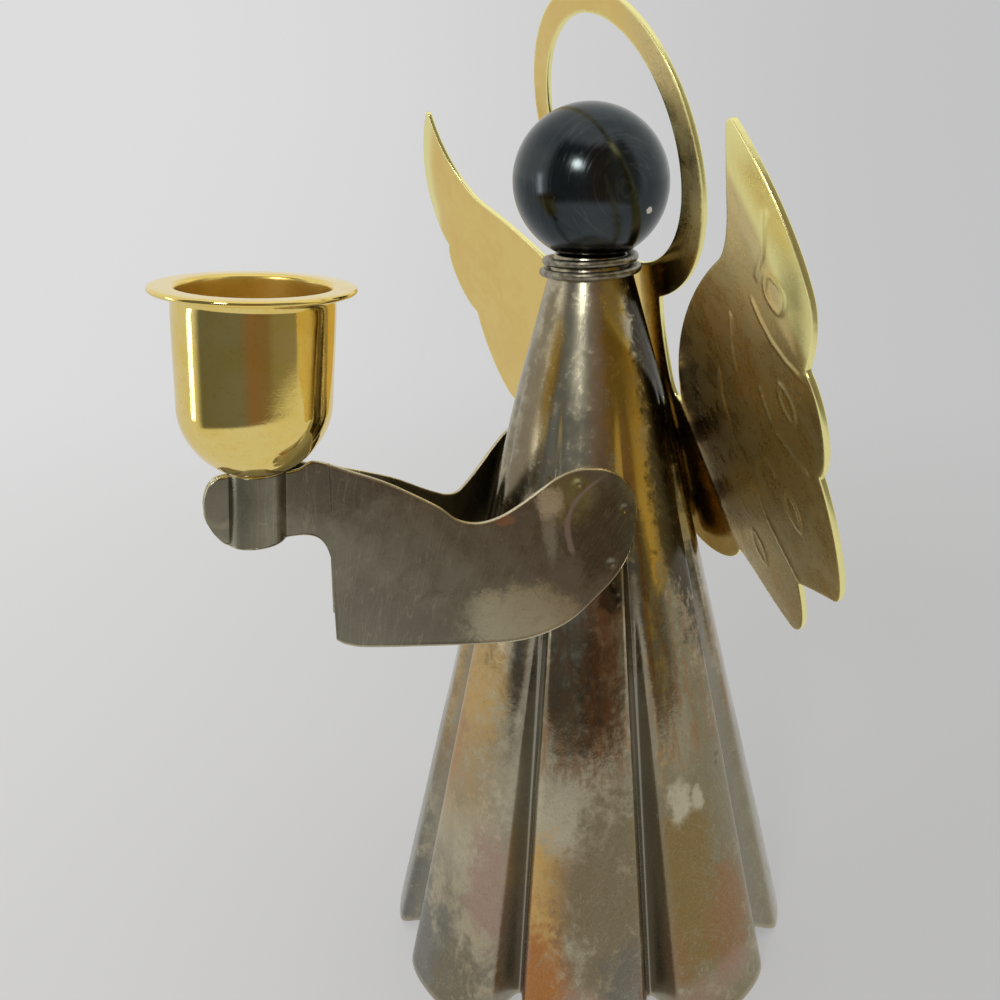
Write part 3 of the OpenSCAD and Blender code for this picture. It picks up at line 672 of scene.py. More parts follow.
def latticeSheet(distance, low, high, spacing, edge):
    # a lattice of triangles over a flat form: points near the form's edge, less the width of its
    # rounding, slide onto it, and the rest outside are dropped. Returns the points, the triangles,
    # the edge's directed pairs, and at each point the way out and the distance left to the edge
    lift = spacing * math.sqrt(0.75)
    rows, cols = int((high[1] - low[1]) / lift) + 2, int((high[0] - low[0]) / spacing) + 2
    j, i = np.meshgrid(np.arange(rows), np.arange(cols), indexing="ij")
    p = np.stack([low[0] + (i + 0.5 * (j % 2)) * spacing, low[1] + j * lift], -1).reshape(-1, 2)
    gap = distance(p) + edge
    near, keep = np.abs(gap) <= spacing / 2, gap <= spacing / 2
    q = p[near]
    for again in range(3):
        q = q - (distance(q) + edge)[:, None] * wayOut(distance, q)
    p[near] = q
    a, odd = (j * cols + i)[:-1, :-1].ravel(), (j % 2)[:-1, :-1].ravel() == 1
    b, c, d = a + 1, a + cols, a + cols + 1
    tris = np.concatenate([np.stack([a, b, np.where(odd, d, c)], -1), np.stack([np.where(odd, a, b), d, c], -1)])
    tris = tris[keep[tris].all(1)]
    # triangles with all corners on the edge stay only inside, and slivers go
    flat = near[tris].all(1)
    good = np.ones(len(tris), bool)
    good[flat] = distance(p[tris].mean(1)[flat]) + edge < 0
    e1, e2 = p[tris[:, 1]] - p[tris[:, 0]], p[tris[:, 2]] - p[tris[:, 0]]
    sliver = 0.02 * spacing ** 2  # twice the least area that stays
    good &= e1[:, 0] * e2[:, 1] - e1[:, 1] * e2[:, 0] > sliver
    tris = tris[good]
    used = np.unique(tris)
    fresh = np.full(len(p), -1)
    fresh[used] = np.arange(len(used))
    p, tris = p[used], fresh[tris]
    pairs = np.concatenate([tris[:, [0, 1]], tris[:, [1, 2]], tris[:, [2, 0]]])
    rim = pairs[~np.isin(pairs[:, 0] * len(p) + pairs[:, 1], pairs[:, 1] * len(p) + pairs[:, 0])]
    out, left = np.zeros((len(p), 2)), np.zeros(len(p))
    ids = np.unique(rim)
    out[ids], left[ids] = wayOut(distance, p[ids]), -distance(p[ids])
    return p, tris, rim, out, left


stamp = {
    # feather lines stamped in each wing: place across and up the sheet, in millimetres
    "height": 0.17, "width": 0.38, "farShare": 0.4, "shift": 4.1, "waist": 0.25, "ringStep": 15,
    # middle, reach both ways and slant of each eye
    "ovals": [(64.7, 61, 2.25, 2.75, 12), (61, 43, 1.9, 3.1, 14), (53.6, 21.5, 2.1, 3.6, 16),
              (33.6, 3.5, 1.9, 3.3, 20)],
    "lines": [
        [(57.3, 58.2), (58.8, 55.4), (61, 52.9), (64.2, 50.9), (67.8, 49.6)],
        [(52.3, 42.6), (52.6, 39.9), (53.2, 37.3)], [(54.5, 35.7), (58.4, 33.6), (62.5, 32.3)],
        [(49.6, 26), (48.0, 27.7), (46.1, 27.8), (43.9, 26.9), (42.5, 24.9), (41.8, 23.4), (40.8, 19.6),
         (40.6, 15.9), (42.1, 12.4), (44.5, 9.6), (49, 4.8)],
        [(26.8, 15.5), (29.0, 12.6), (31.5, 10.2)], [(66.2, 72.5), (64.0, 66.5), (60.5, 62.5)],
        [(47.5, 53.5), (44.8, 48.0), (44.0, 43.0)], [(36.0, 40.5), (34.2, 35.2), (34.6, 29.0)],
    ],
    "grooves": [[(20.5, 31.3), (24.6, 29.2), (29.4, 28.9), (34.2, 29.6)]],
}


def stampHeight(points):
    # rounded ridges: height times exp(-(distance / width)^2), weaker on the angel's right wing
    p = np.stack([np.abs(points[:, 0]), points[:, 1] - stamp["shift"]], -1)
    total = np.zeros(len(p))
    a = np.radians(np.arange(0, 361, stamp["ringStep"]))
    for cx, cy, rx, ry, slant in stamp["ovals"]:
        c, s = math.cos(math.radians(slant)), math.sin(math.radians(slant))
        ox, oy = rx * np.cos(a), ry * np.sin(a) * (1 - stamp["waist"] * np.abs(np.cos(a)))
        ring = np.stack([cx + ox * c - oy * s, cy + ox * s + oy * c], -1)
        close = np.hypot(p[:, 0] - cx, p[:, 1] - cy) < ry + 4
        total[close] += np.exp(-(lineDistance(ring, p[close]) / stamp["width"]) ** 2)
    for lines, sign in ((stamp["lines"], 1), (stamp["grooves"], -1)):
        for line in lines:
            total += sign * np.exp(-(lineDistance(np.array(line, float), p) / stamp["width"]) ** 2)
    return total * stamp["height"] * np.where(points[:, 0] > 0, 1, stamp["farShare"])


def bend(e, w, angle, reach):
    # a fold rounded over its reach: the slope grows smoothly, and place and height are its sums. Takes
    # place e across the fold and height w over the sheet to the place and height after it
    x = np.linspace(-reach, reach, 401)
    slope = np.radians(angle) * smoothStep(-reach, reach, x)
    step = x[1] - x[0]
    place, height = -reach + np.cumsum(np.cos(slope)) * step - step, np.cumsum(np.sin(slope)) * step
    phi = np.interp(e, x, slope)
    past, full = np.maximum(e - reach, 0), math.radians(angle)
    across = np.where(e < -reach, e, np.interp(e, x, place) + past * math.cos(full))
    up = np.interp(e, x, height) + past * math.sin(full)
    return across - w * np.sin(phi), up + w * np.cos(phi)


def foldPlate(flat, w, isWing):
    # wings fold forward about the slanting line through the crotch, the halo about its hinge, and the
    # whole sheet leans back from the robe
    sign = np.where(flat[:, 0] < 0, -1, 1)
    u, v = np.abs(flat[:, 0]), flat[:, 1]
    c, s = math.cos(math.radians(plate["foldSlant"])), math.sin(math.radians(plate["foldSlant"]))
    e, f = (u - crotch[0]) * c + (v - crotch[1]) * s, -(u - crotch[0]) * s + (v - crotch[1]) * c
    before = -9  # a place well before either fold, where nothing bends
    e2, h2 = bend(np.where(isWing, e, before), w, plate["fold"], plate["bendReach"])
    hv, hw = bend(np.where(isWing, before, v - haloHinge), w, plate["haloBend"], plate["bendReach"])
    x = np.where(isWing, crotch[0] + e2 * c - f * s, u) * sign
    y = np.where(isWing, crotch[1] + e2 * s + f * c, hv + haloHinge)
    h = np.where(isWing, h2, hw)
    cl, sl = math.cos(plateLean), math.sin(plateLean)
    return np.stack([x, leanLow - y * sl - h * cl, beadHeight + y * cl - h * sl], -1)


def roundedSheet(flat, tris, rim, out, left, thick, edge, lift):
    # front and back skins and a rounded edge: rings of points outside the rim, joined along it. Also
    # gives the flat point that each point of the result came from
    n, ids = len(flat), np.unique(rim)
    slot = np.full(n, -1)
    slot[ids] = np.arange(len(ids))
    steps = edgeSteps(thick, edge)
    places, heights = [flat, flat], [np.full(n, thick / 2) + lift, np.full(n, -thick / 2) + lift]
    for grow, height in steps:
        places.append(flat[ids] + out[ids] * (left[ids] * grow)[:, None])
        heights.append(height + lift[ids])
    rings, mates = ([rim[:, end]] + [2 * n + k * len(ids) + slot[rim[:, end]] for k in range(len(steps))]
                    + [n + rim[:, end]] for end in (0, 1))
    faces = [tris, tris[:, ::-1] + n]
    for k in range(len(rings) - 1):
        faces.append(np.stack([rings[k + 1], mates[k + 1], mates[k], rings[k]], -1))
    source = np.concatenate([np.arange(n), np.arange(n)] + [ids] * len(steps))
    return np.concatenate(places), np.concatenate(heights), faces, source


def wingCurl(points):
    # the upper outer edge of each wing curls back: tan(turn) * (width - distance)^2 / (2 width)
    p = np.stack([np.abs(points[:, 0]), points[:, 1]], -1)
    first = plate["curlCurve"] * plate["curveSteps"]
    away = np.full(len(p), 99.0)
    close = (p > plate["curlCorner"]).all(-1)
    away[close] = lineDistance(wingEdge[first:first + plate["curveSteps"] + 1], p[close])
    width = plate["curlWidth"] * smoothStep(*plate["curlRise"], p[:, 1]) + 0.01
    share = np.maximum(width - away, 0) ** 2 / (2 * width)
    return math.tan(math.radians(plate["curlTurn"])) * share * np.where(points[:, 0] > 0, 1, plate["curlFar"])


def plateFinish():
    # brass sheet: clean on the halo and the angel's right wing; the left one olive brown, granular near its root;
    # bright along its rubbed edges, and on the curled strip a painted highlight
    material, place = startFinish("wingBrass")
    x, z = split(place)[::2]
    cloud = place.noise(0.07, 4, 0.6, 0.5)
    patchy = place.noise(0.25, 5, 0.62, 0.6)
    mottle = place.noise(0.9, 5, 0.68, 0.4)
    tone = brassTone
    side = x.ease(*plate["sideFade"])
    root = x.ease(*plate["rootFade"], 1, 0) * side
    grain = place.noise(3.0, 3, 0.65).ease(0.46, 0.62) * patchy.ease(0.36, 0.6)
    dull = side * (0.62 + cloud.swing(1.6) + patchy.swing(1.2)).clamped()
    colour = (cloud * 0.5 + patchy * 0.5).ease(0.38, 0.62).mixed(tone["bright"], tone["pale"])
    olive = z.ease(*plate["oliveFade"]).mixed(tone["paleOlive"], tone["olive"])
    colour = layered(colour, (dull, olive), (mottle.ease(0.5, 0.68) * side * 0.28, tone["tarnish"]),
                     (grain * root * 0.32, tone["brown"]),
                     (mottle.ease(0.62, 0.74) * (1 - side) * 0.3, tone["warm"]), (wear(place), tone["rubbedAndHighlit"]))
    rough = (plate["rough"] + side * 0.13 + grain * root * 0.14 + patchy.swing(0.18)).high(0.09)
    return finished(material, colour, rough, patchy * 0.6 + mottle * side * 0.12 + grain * root * 0.15, 0.08)


def wingPlate():
    # the flat sheet with its stamped lines and a slight wave, folded
    flat, tris, rim, out, left = latticeSheet(plateDistance, *plate["latticeBox"], plate["lattice"], plate["edge"])
    wing, stem, halo = plateParts(flat)
    isWing = (flat[:, 1] <= crotch[1]) | (wing < np.minimum(stem, halo))
    depth = -np.minimum.reduce([wing, stem, halo])
    curl = wingCurl(flat)
    wave = ripple(flat, 3, plate["waveLength"])
    lift = stampHeight(flat) * smoothStep(0.2, 1.2, depth) + plate["wave"] * wave * smoothStep(0.3, 4, depth) - curl
    places, heights, faces, source = roundedSheet(flat, tris, rim, out, left, plate["sheet"], plate["edge"], lift)
    slide = curl[source] * math.tan(math.radians(plate["fold"]))  # keeps the curled edge's reach
    slant = math.radians(plate["foldSlant"])
    places = places - np.stack([slide * np.sign(places[:, 0]) * math.cos(slant), slide * math.sin(slant)], -1)
    # the sheet's edges count as rubbed, and the curled strip gets the bright rubbed tone as a painted highlight
    rubbedAndHighlit = np.ones(len(places))
    paintedHighlightStrip = smoothStep(0.10, 0.28, curl / curl.max())
    rubbedAndHighlit[:2 * len(flat)] = np.tile(np.maximum(np.isin(np.arange(len(flat)), rim) * 0.8, paintedHighlightStrip), 2)
    makePiece("haloAndWings", foldPlate(places, heights, isWing[source]), faces, plateFinish(), "holder",
              ["wing_plate"], rubbedAndHighlit)


wingPlate()


arm = {
    "sheet": 0.8, "height": 34.3, "drop": 66.8, "wrap": 5.7, "gap": 0.4, "handGap": 0.3, "bendBack": 1.2,
    "cupReach": 63.5, "cupLean": 3.5, "boreRadius": 4.0, "tubeWall": 0.8, "tubeHeight": 12.7, "tubeTurn": (4, 155),
    "cuff": 0.158, "farCuff": 0.19, "cuffSlope": 0.003, "bridge": 3.09, "edge": 0.22,
    "rows": 72, "sleeveColumns": 230, "handColumns": 20, "tubeColumns": 34, "bridgeColumns": 24,
    "crowd": 0.03, "cuffGap": 0.5,
    "wave": 0.03, "waveLength": 15, "shoulderWave": 0.09, "shoulderLength": 14, "shoulderFade": (42, 50),
    "dimple": 0.34, "dimpleReach": 0.75, "dimples": [(53.5, 103.4), (62.0, 98.4), (59.2, 88.9)],
    # the thin bowed painted highlight line on the left shoulder: its middle, how it bows above and below, and its
    # ends
    "markHeight": 96, "markPlace": -13.6, "markAbove": 0.101, "markBelow": 0.026,
    "markRise": (90.5, 92), "markFall": (103, 105), "rough": 0.29,
}
armTone = {
    "plate": (0.255, 0.233, 0.170), "pale": (0.315, 0.295, 0.222), "grain": (0.40, 0.375, 0.285),
    "rubbedAndHighlit": (0.70, 0.63, 0.43), "paintedHighlightLine": (0.66, 0.63, 0.64), "paintedPaleReflection": (0.80, 0.77, 0.53),
    "olive": (0.46, 0.43, 0.19), "paintedDarkReflection": (0.15, 0.13, 0.08), "glint": (0.62, 0.64, 0.52),
    "paintedShoulderHighlight": (1, 0.98, 0.74), "paintedOrangeGlint": (0.62, 0.34, 0.20), "brown": (0.215, 0.195, 0.145), "dark": (0.19, 0.17, 0.12),
}
armZones = [
    # place along the row and height of the middle, reach both ways, tone, depth: on the left arm alone
    # the pale oval low on the shoulder is a painted reflection, the glint, highlight and orange ovals painted
    # highlights, and the dark hollow a painted dark reflection
    (-22, 79.5, 9, 6.5, "paintedPaleReflection", 0.85), (-12, 100.5, 4.5, 4.5, "olive", 0.85), (-6.5, 94, 6.5, 8, "paintedDarkReflection", 0.7),
    (-16.6, 96.5, 1.1, 6, "glint", 0.7), (-16.4, 100.6, 2.2, 2.6, "paintedShoulderHighlight", 0.95), (-24, 98, 1.7, 0.9, "paintedOrangeGlint", 0.8),
    (-47, 80, 13, 8, "brown", 0.7), (-52, 107, 10, 6, "dark", 0.8),
]
# edges of the sheet, as share of the arm's length and share of its height: the top, and the low edge of the
# hand and of the sleeve. Both arms' tops start and end alike
armTop = [[-0.157, 0.86], [-0.153, 0.9], [-0.144, 0.945], [-0.124, 0.98], [-0.099, 0.99], [-0.03, 0.985],
          [0.04, 0.975], [0.085, 0.985], [0.122, 1.02], [0.222, 0.95], [0.307, 0.883], [0.394, 0.793], [0.45, 0.729],
          [0.496, 0.662], [0.55, 0.638], [0.606, 0.659], [0.667, 0.717], [0.724, 0.787], [0.772, 0.843],
          [0.82, 0.875], [0.876, 0.88], [0.938, 0.851], [0.975, 0.787], [0.995, 0.725], [1, 0.69]]
farArmTop = armTop[:5] + [
    [-0.03, 1.0], [0.04, 1.01], [0.085, 0.991], [0.122, 0.966], [0.17, 0.931], [0.222, 0.891], [0.307, 0.822],
    [0.394, 0.745], [0.45, 0.684], [0.496, 0.631], [0.55, 0.574], [0.595, 0.534], [0.64, 0.528], [0.68, 0.58],
    [0.724, 0.66], [0.772, 0.758], [0.82, 0.84], [0.876, 0.868], [0.938, 0.845], [0.975, 0.785]] + armTop[-2:]
handLow = [[-0.157, 0.79], [-0.153, 0.765], [-0.136, 0.703], [-0.098, 0.638], [-0.033, 0.62], [0.042, 0.63],
           [0.084, 0.636], [0.108, 0.627], [0.124, 0.603], [0.136, 0.561], [0.147, 0.48]]
sleeveLow = [[0.147, 0.055], [0.163, 0.035], [0.18, 0.023], [0.22, 0.008], [0.4, 0], [0.598, 0], [0.668, 0.012],
             [0.736, 0.047], [0.806, 0.111], [0.867, 0.207], [0.926, 0.309], [0.966, 0.411], [0.989, 0.531],
             [1, 0.62]]
sleeveHeight = robe["height"] - arm["drop"]
seatHeight = sleeveHeight + arm["height"]
handX = (arm["handGap"] + arm["sheet"]) / 2
handY = arm["cupReach"] - arm["bendBack"]
lean = math.radians(arm["cupLean"])


def runLength(z):
    # straight run from the hand line to where it touches the circle round the robe
    return np.sqrt(handX ** 2 + handY ** 2 - (robeRadius(z) + arm["gap"] + arm["sheet"] / 2) ** 2)


armLength = float(runLength(sleeveHeight + arm["height"] / 2)) + arm["wrap"]


def tableAt(rows, x):
    # a smooth curve through the rows: cubic between neighbours, its slopes from their neighbours
    rows = np.array(rows, float)
    k = np.clip(np.searchsorted(rows[:, 0], x, side="right") - 1, 0, len(rows) - 2)
    a, b, c, d = rows[np.maximum(k - 1, 0)], rows[k], rows[k + 1], rows[np.minimum(k + 2, len(rows) - 1)]
    w = c[..., 0] - b[..., 0]
    t = (x - b[..., 0]) / w
    m0 = (c[..., 1] - a[..., 1]) / (c[..., 0] - a[..., 0]) * w
    m1 = (d[..., 1] - b[..., 1]) / (d[..., 0] - b[..., 0]) * w
    return (b[..., 1] * (2 * t ** 3 - 3 * t * t + 1) + m0 * (t ** 3 - 2 * t * t + t)
            + c[..., 1] * (3 * t * t - 2 * t ** 3) + m1 * (t ** 3 - t * t))


def armPlan(s, z):
    # the sheet's middle line at a height: along the hands, straight to the robe, then round it
    r = robeRadius(z) + arm["gap"] + arm["sheet"] / 2
    run = runLength(z)
    turn = np.arctan2(run, r) + math.atan(handX / handY)
    touch, hand = polar(r, np.degrees(turn)), np.array([handX, -handY])
    way = (touch - hand) / run[..., None]
    onHand = np.stack([np.full_like(s, handX), s - handY], -1)
    onRun = hand + s[..., None] * way
    onRobe = polar(r, np.degrees(turn + (s - run) / r))
    return np.where((s < 0)[..., None], onHand, np.where((s < run)[..., None], onRun, onRobe))


def armSheet(side):
    # the sheet's middle surface on a grid of places along it and up it, with the half tube turned out
    # where the hands meet; skins stand half the sheet's thickness to each side of it
    m = arm
    tube = m["boreRadius"] + m["tubeWall"] / 2
    cuff = m["cuff"] if side > 0 else m["farCuff"]
    isTube = np.repeat([False, True, False], [m["handColumns"], m["tubeColumns"], m["sleeveColumns"]])
    start = armTop[0][0] * armLength
    tubeStart, tubeEnd = -m["bendBack"] - math.sqrt(tube ** 2 - handX ** 2), m["bridge"]
    cuffStart, cuffEnd = cuff * armLength, (cuff + m["cuffSlope"]) * armLength
    # columns crowd at the cuff's corner
    corner = np.array([-0.2, 0, 0.25, 0.4])
    bridge = np.linspace(tubeEnd, cuffStart - m["cuffGap"], m["bridgeColumns"])
    sleeve = np.linspace(0, 1, m["sleeveColumns"] - len(bridge) - len(corner))
    hand = start + (tubeStart - start) * np.linspace(0, 1, m["handColumns"])
    first, last = m["tubeTurn"]
    angle = np.radians(np.linspace(math.degrees(math.asin(handX / tube)) + first, last, m["tubeColumns"]))
    along = np.concatenate([hand, -m["bendBack"] - tube * np.cos(angle), bridge, cuffStart + corner,
                            cuffEnd + (armLength - cuffEnd) * sleeve])
    x = np.clip(along / armLength, armTop[0][0], 1)
    # each arm's low edge is read from the same tables, slid along to where its own cuff starts
    meet = handLow[-1][0]
    slid = np.where(x < cuff, x * meet / cuff, meet + (x - cuff) * (1 - meet) / (1 - cuff))
    slid = np.where(x < 0, x, slid)
    low = np.where(along < cuffStart, tableAt(handLow, np.minimum(slid, meet)),
                   tableAt(sleeveLow, np.maximum(slid, meet)))
    high = tableAt(armTop if side > 0 else farArmTop, x)
    zHigh = np.where(isTube, seatHeight - math.tan(lean) * (along + m["bendBack"]), sleeveHeight + m["height"] * high)
    zLow = np.where(isTube, seatHeight - m["tubeHeight"], sleeveHeight + m["height"] * low)
    share = np.linspace(0, 1, m["rows"])
    share = share + m["crowd"] * np.sin(2 * np.pi * share)
    z = zLow[:, None] + (zHigh - zLow)[:, None] * share[None]
    shift = -(seatHeight - z) * math.tan(lean)
    fade = smoothStep(start, tubeStart, along) * (1 - smoothStep(tubeEnd, cuffStart, along))
    s = along[:, None] + shift * fade[:, None]
    plan = armPlan(s, z)
    axisY = shift[isTube] - m["cupReach"]
    plan[isTube] = np.stack([tube * np.sin(angle)[:, None] + 0 * axisY, axisY - tube * np.cos(angle)[:, None]], -1)
    # the corners beside the tube are eased by three rounds of averages along the sheet
    soft = plan.copy()
    for again in range(3):
        soft[1:-1] = (soft[:-2] + 2 * soft[1:-1] + soft[2:]) / 4
    near = smoothStep(start, tubeStart - 1, along) * (1 - smoothStep(tubeEnd + 2, cuffStart, along))
    plan = plan + (soft - plan) * near[:, None, None]
    return np.concatenate([plan, z[..., None]], -1), s


def armFinish():
    # the same plate gone olive and brown: smooth, with faint clouds, fine grain and wipe marks; on the left
    # arm's shoulder a painted pale reflection, painted glints and highlights, a dark mirror-like hollow painted as a
    # dark reflection and a thin violet painted highlight line; its rubbed edges carry a painted highlight
    material, place = startFinish("tarnishedArm")
    x, y, z = split(place)
    cloud = place.noise(0.07, 4, 0.6, 0.8)
    patchy = place.noise(0.26, 5, 0.62, 0.6)
    mottle = place.noise(1.1, 5, 0.7, 0.3)
    grain = place.scaled((1, 1, 0.5)).noise(3.6, 4, 0.7)
    lines = scratches(place, 1.8, 0.010, [(0, 0, 0.2), (0.3, 1.1, 0.6), (1.3, 0.3, 0.9)])
    tone = armTone
    leftOnly = x.ease(-1, 1)
    colour = (cloud * 0.6 + patchy * 0.4).ease(0.40, 0.60).mixed(tone["plate"], tone["pale"])
    colour = zoned(colour, armZones, tone, y, z, patchy.swing(1.6) + mottle.swing(1.0), 0.35, leftOnly)
    # a thin violet painted highlight line that bows across the left shoulder
    above, below = (z - arm["markHeight"]).high(0), (arm["markHeight"] - z).high(0)
    bow = above ** 2 * arm["markAbove"] + below ** 2 * arm["markBelow"] + arm["markPlace"]
    paintedHighlightLine = (y - bow + patchy.swing(1.2)).size().ease(0.25, 0.7, 1, 0) * z.between(arm["markRise"], arm["markFall"])
    colour = layered(colour, (paintedHighlightLine * leftOnly * 0.9, tone["paintedHighlightLine"]), (grain.ease(0.50, 0.72) * 0.30, tone["grain"]),
                     (place.noise(1.7, 4, 0.75).ease(0.60, 0.72) * 0.30, silverTone["line"]),
                     ((lines * 0.2 + wear(place) * 0.8).clamped(), tone["rubbedAndHighlit"]))
    rough = (arm["rough"] + patchy.swing(0.15) + grain.swing(0.12) - paintedHighlightLine * 0.1).high(0.16)
    return finished(material, colour, rough, patchy * 0.35 + mottle * 0.05 + grain * 0.03 - lines * 0.03, 0.07)


def armSkins(side, name, node, finish):
    # the loop round the sheet at each column: outer skin, rounded top edge, inner skin, rounded low edge
    m = arm
    middle, s = armSheet(side)
    cols, rows = middle.shape[:2]
    dx, rise = np.gradient(middle, axis=0), np.gradient(middle, axis=1)
    dx = dx - rise * (dx[..., 2:] / rise[..., 2:])  # the way along the sheet at one height
    out = unit(np.stack([dx[..., 1], -dx[..., 0], 0 * dx[..., 0]], -1))
    z = middle[..., 2]
    shoulder = m["shoulderWave"] * smoothStep(*m["shoulderFade"], s)
    dent = m["wave"] * ripple(middle, 11, m["waveLength"])
    dent = dent + shoulder * ripple(np.stack([s, z], -1), 23, m["shoulderLength"])
    for place, height in m["dimples"]:
        dent = dent - m["dimple"] * np.exp(-(np.hypot(s - place, z - height) / m["dimpleReach"]) ** 2)
    middle = middle + dent[..., None] * out
    half, e = m["sheet"] / 2, m["edge"]
    up = np.array([0, 0, 1.0])
    bevel = edgeSteps(m["sheet"], e)

    def edgeRow(k, sign):
        return np.stack([middle[:, k] + out[:, k] * off + sign * up * e * (grow - 1) for grow, off in bevel], 1)

    inward = np.zeros((1, rows, 3))
    inward[0, 0], inward[0, -1] = up * e, -up * e
    front, back = middle + half * out + inward, middle - half * out + inward
    loop = np.concatenate([front, edgeRow(-1, 1), back[:, ::-1], edgeRow(0, -1)[:, ::-1]], 1)
    n = loop.shape[1]
    points = np.concatenate([loop.reshape(-1, 3), [loop[0].mean(0), loop[-1].mean(0)]]) * [side, 1, 1]
    # the edges and ends take the pale rubbed tone: wear, and a painted highlight where the edges catch the light
    rubbedAndHighlit = np.zeros((cols, n))
    rubbedAndHighlit[:, rows - 1:rows + len(bevel) + 1] = 1
    rubbedAndHighlit[:, 2 * rows + len(bevel) - 1:] = rubbedAndHighlit[:, 0] = 0.8
    rubbedAndHighlit[[0, -1]] = 1
    makePiece(name, points, tubeFaces(cols, n), finish, "holder", [node],
              np.concatenate([rubbedAndHighlit.ravel(), [1, 1]]))


armMetal = armFinish()
armSkins(1, "leftArmSheet", "left_arm", armMetal)
armSkins(-1, "rightArmSheet", "right_arm", armMetal)


cup = {
    "bore": 12.1, "wall": 0.8, "taper": 0.5, "height": 31, "bowl": 11.2, "rimRadius": 16.3, "rim": 1.0,
    "fillet": 1.6, "lip": 0.9, "seat": 0.2, "rivetHole": 2.45, "flatEdge": 0.25, "foot": 1.2, "columns": 200,
    "rough": 0.07, "insideRough": 0.28,
}


def cupFrame(points):
    # the cup's own frame: its origin is the middle of the half tubes' top, and it leans back
    x, y, z = points[:, 0], points[:, 1], points[:, 2]
    return np.stack([x, y * math.cos(lean) + z * math.sin(lean) - arm["cupReach"],
                     z * math.cos(lean) - y * math.sin(lean) + seatHeight], -1)


def cupFinish():
    # spun brass: bright, faintly mottled, with very fine lines round it from the lathe, and satin inside
    material, place = startFinish("cupBrass")
    x, y, z = split(place)
    cloud = place.noise(0.12, 4, 0.6, 0.6)
    mottle = place.noise(0.8, 5, 0.68, 0.5)
    stain = place.noise(1.6, 4, 0.72).ease(0.60, 0.70)
    height = z + y * math.tan(lean)
    rings = height.node("ShaderNodeTexNoise", {"noise_dimensions": "1D"}, {"W": height, "Scale": 4.0, "Detail": 4})
    tone = brassTone
    colour = layered(cloud.ease(0.35, 0.65).mixed(tone["cup"], tone["cupPale"]),
                     (mottle.ease(0.52, 0.68) * 0.35, tone["warm"]), (stain * 0.3, tone["tarnish"]))
    # the place in the cup's own frame, and its distance from the bore's axis and the bowl's middle
    y, z = y + arm["cupReach"], z - seatHeight
    across, up = y * math.cos(lean) - z * math.sin(lean), y * math.sin(lean) + z * math.cos(lean)
    below = (cup["bowl"] + cup["seat"] - up).high(0) * 1.2
    far = (x * x + across * across + below * below).root()
    inside = far.ease(cup["bore"] + 0.02, cup["bore"] + 0.25, 1, 0)
    rough = (cup["rough"] + mottle.swing(0.08) + stain * 0.05 + inside * cup["insideRough"]).high(0.045)
    return finished(material, colour, rough, rings.swing(0.07) + mottle * 0.5, 0.03)


def candleCup():
    # the spun profile: flat seat, rounded bottom, straight wall, turned-out rim, lip, bore and floor
    k = cup
    outer = k["bore"] + k["wall"]
    flat = arm["boreRadius"] + arm["tubeWall"] * (1 + k["flatEdge"])
    bowlTurn = math.degrees(math.acos(flat / outer))
    rise = k["bowl"] / math.sin(math.radians(bowlTurn))
    innerTurn = math.degrees(math.asin((k["bowl"] - k["wall"]) / (rise - k["wall"])))
    under, half = k["height"] - k["rim"], k["rim"] / 2
    wallUp = np.linspace(k["bowl"] + 1, under - k["fillet"] - 1, 16)
    wallDown = np.linspace(k["height"] - k["lip"] - 1, k["bowl"] + 1, 16)
    inner = arcPoints((0, k["bowl"]), k["bore"], rise - k["wall"], 0, -innerTurn, 24)
    hole = np.array([k["rivetHole"], k["wall"]])
    profile = np.concatenate([
        [[k["rivetHole"], 0], [k["rivetHole"] + k["foot"], 0]],
        arcPoints((0, k["bowl"]), outer, rise, -bowlTurn, 0, 26), np.stack([0 * wallUp + outer, wallUp], -1),
        arcPoints((outer + k["fillet"], under - k["fillet"]), k["fillet"], k["fillet"], 180, 90, 10),
        arcPoints((k["rimRadius"] - half, k["height"] - half), half, half, -90, 90, 12),
        arcPoints((k["bore"] + k["lip"], k["height"] - k["lip"]), k["lip"], k["lip"], 90, 180, 10),
        np.stack([0 * wallDown + k["bore"], wallDown], -1), inner,
        inner[-1] + (hole - inner[-1]) * np.linspace(0, 1, 6)[1:-1, None], [hole]])
    # the wall draws in slightly towards the bowl
    low = 1 - smoothStep(k["bowl"] - 4, under - k["fillet"], profile[:, 1])
    profile[:, 0] -= k["taper"] * low * smoothStep(flat + 1, outer - 1.5, profile[:, 0])
    points = turned(profile, k["columns"]).reshape(-1, 3) + [0, 0, k["seat"]]
    makePiece("spunCup", cupFrame(points), [gridFaces(len(profile), k["columns"], True)], cupFinish(), "cup",
              ["candle_cup"])


candleCup()

for metalName, nodeNames in (("plainSteel", ("head_stud", "neck_washer", "head_nut", "cup_peg")),
                             ("dullSolder", ("wing_solder", "arm_solder"))):
    metal = plainFinish(metalName)
    for nodeName in nodeNames:
        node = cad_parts[nodeName]
        node.data.materials.clear()
        node.data.materials.append(metal)
print("CAD nodes finished")


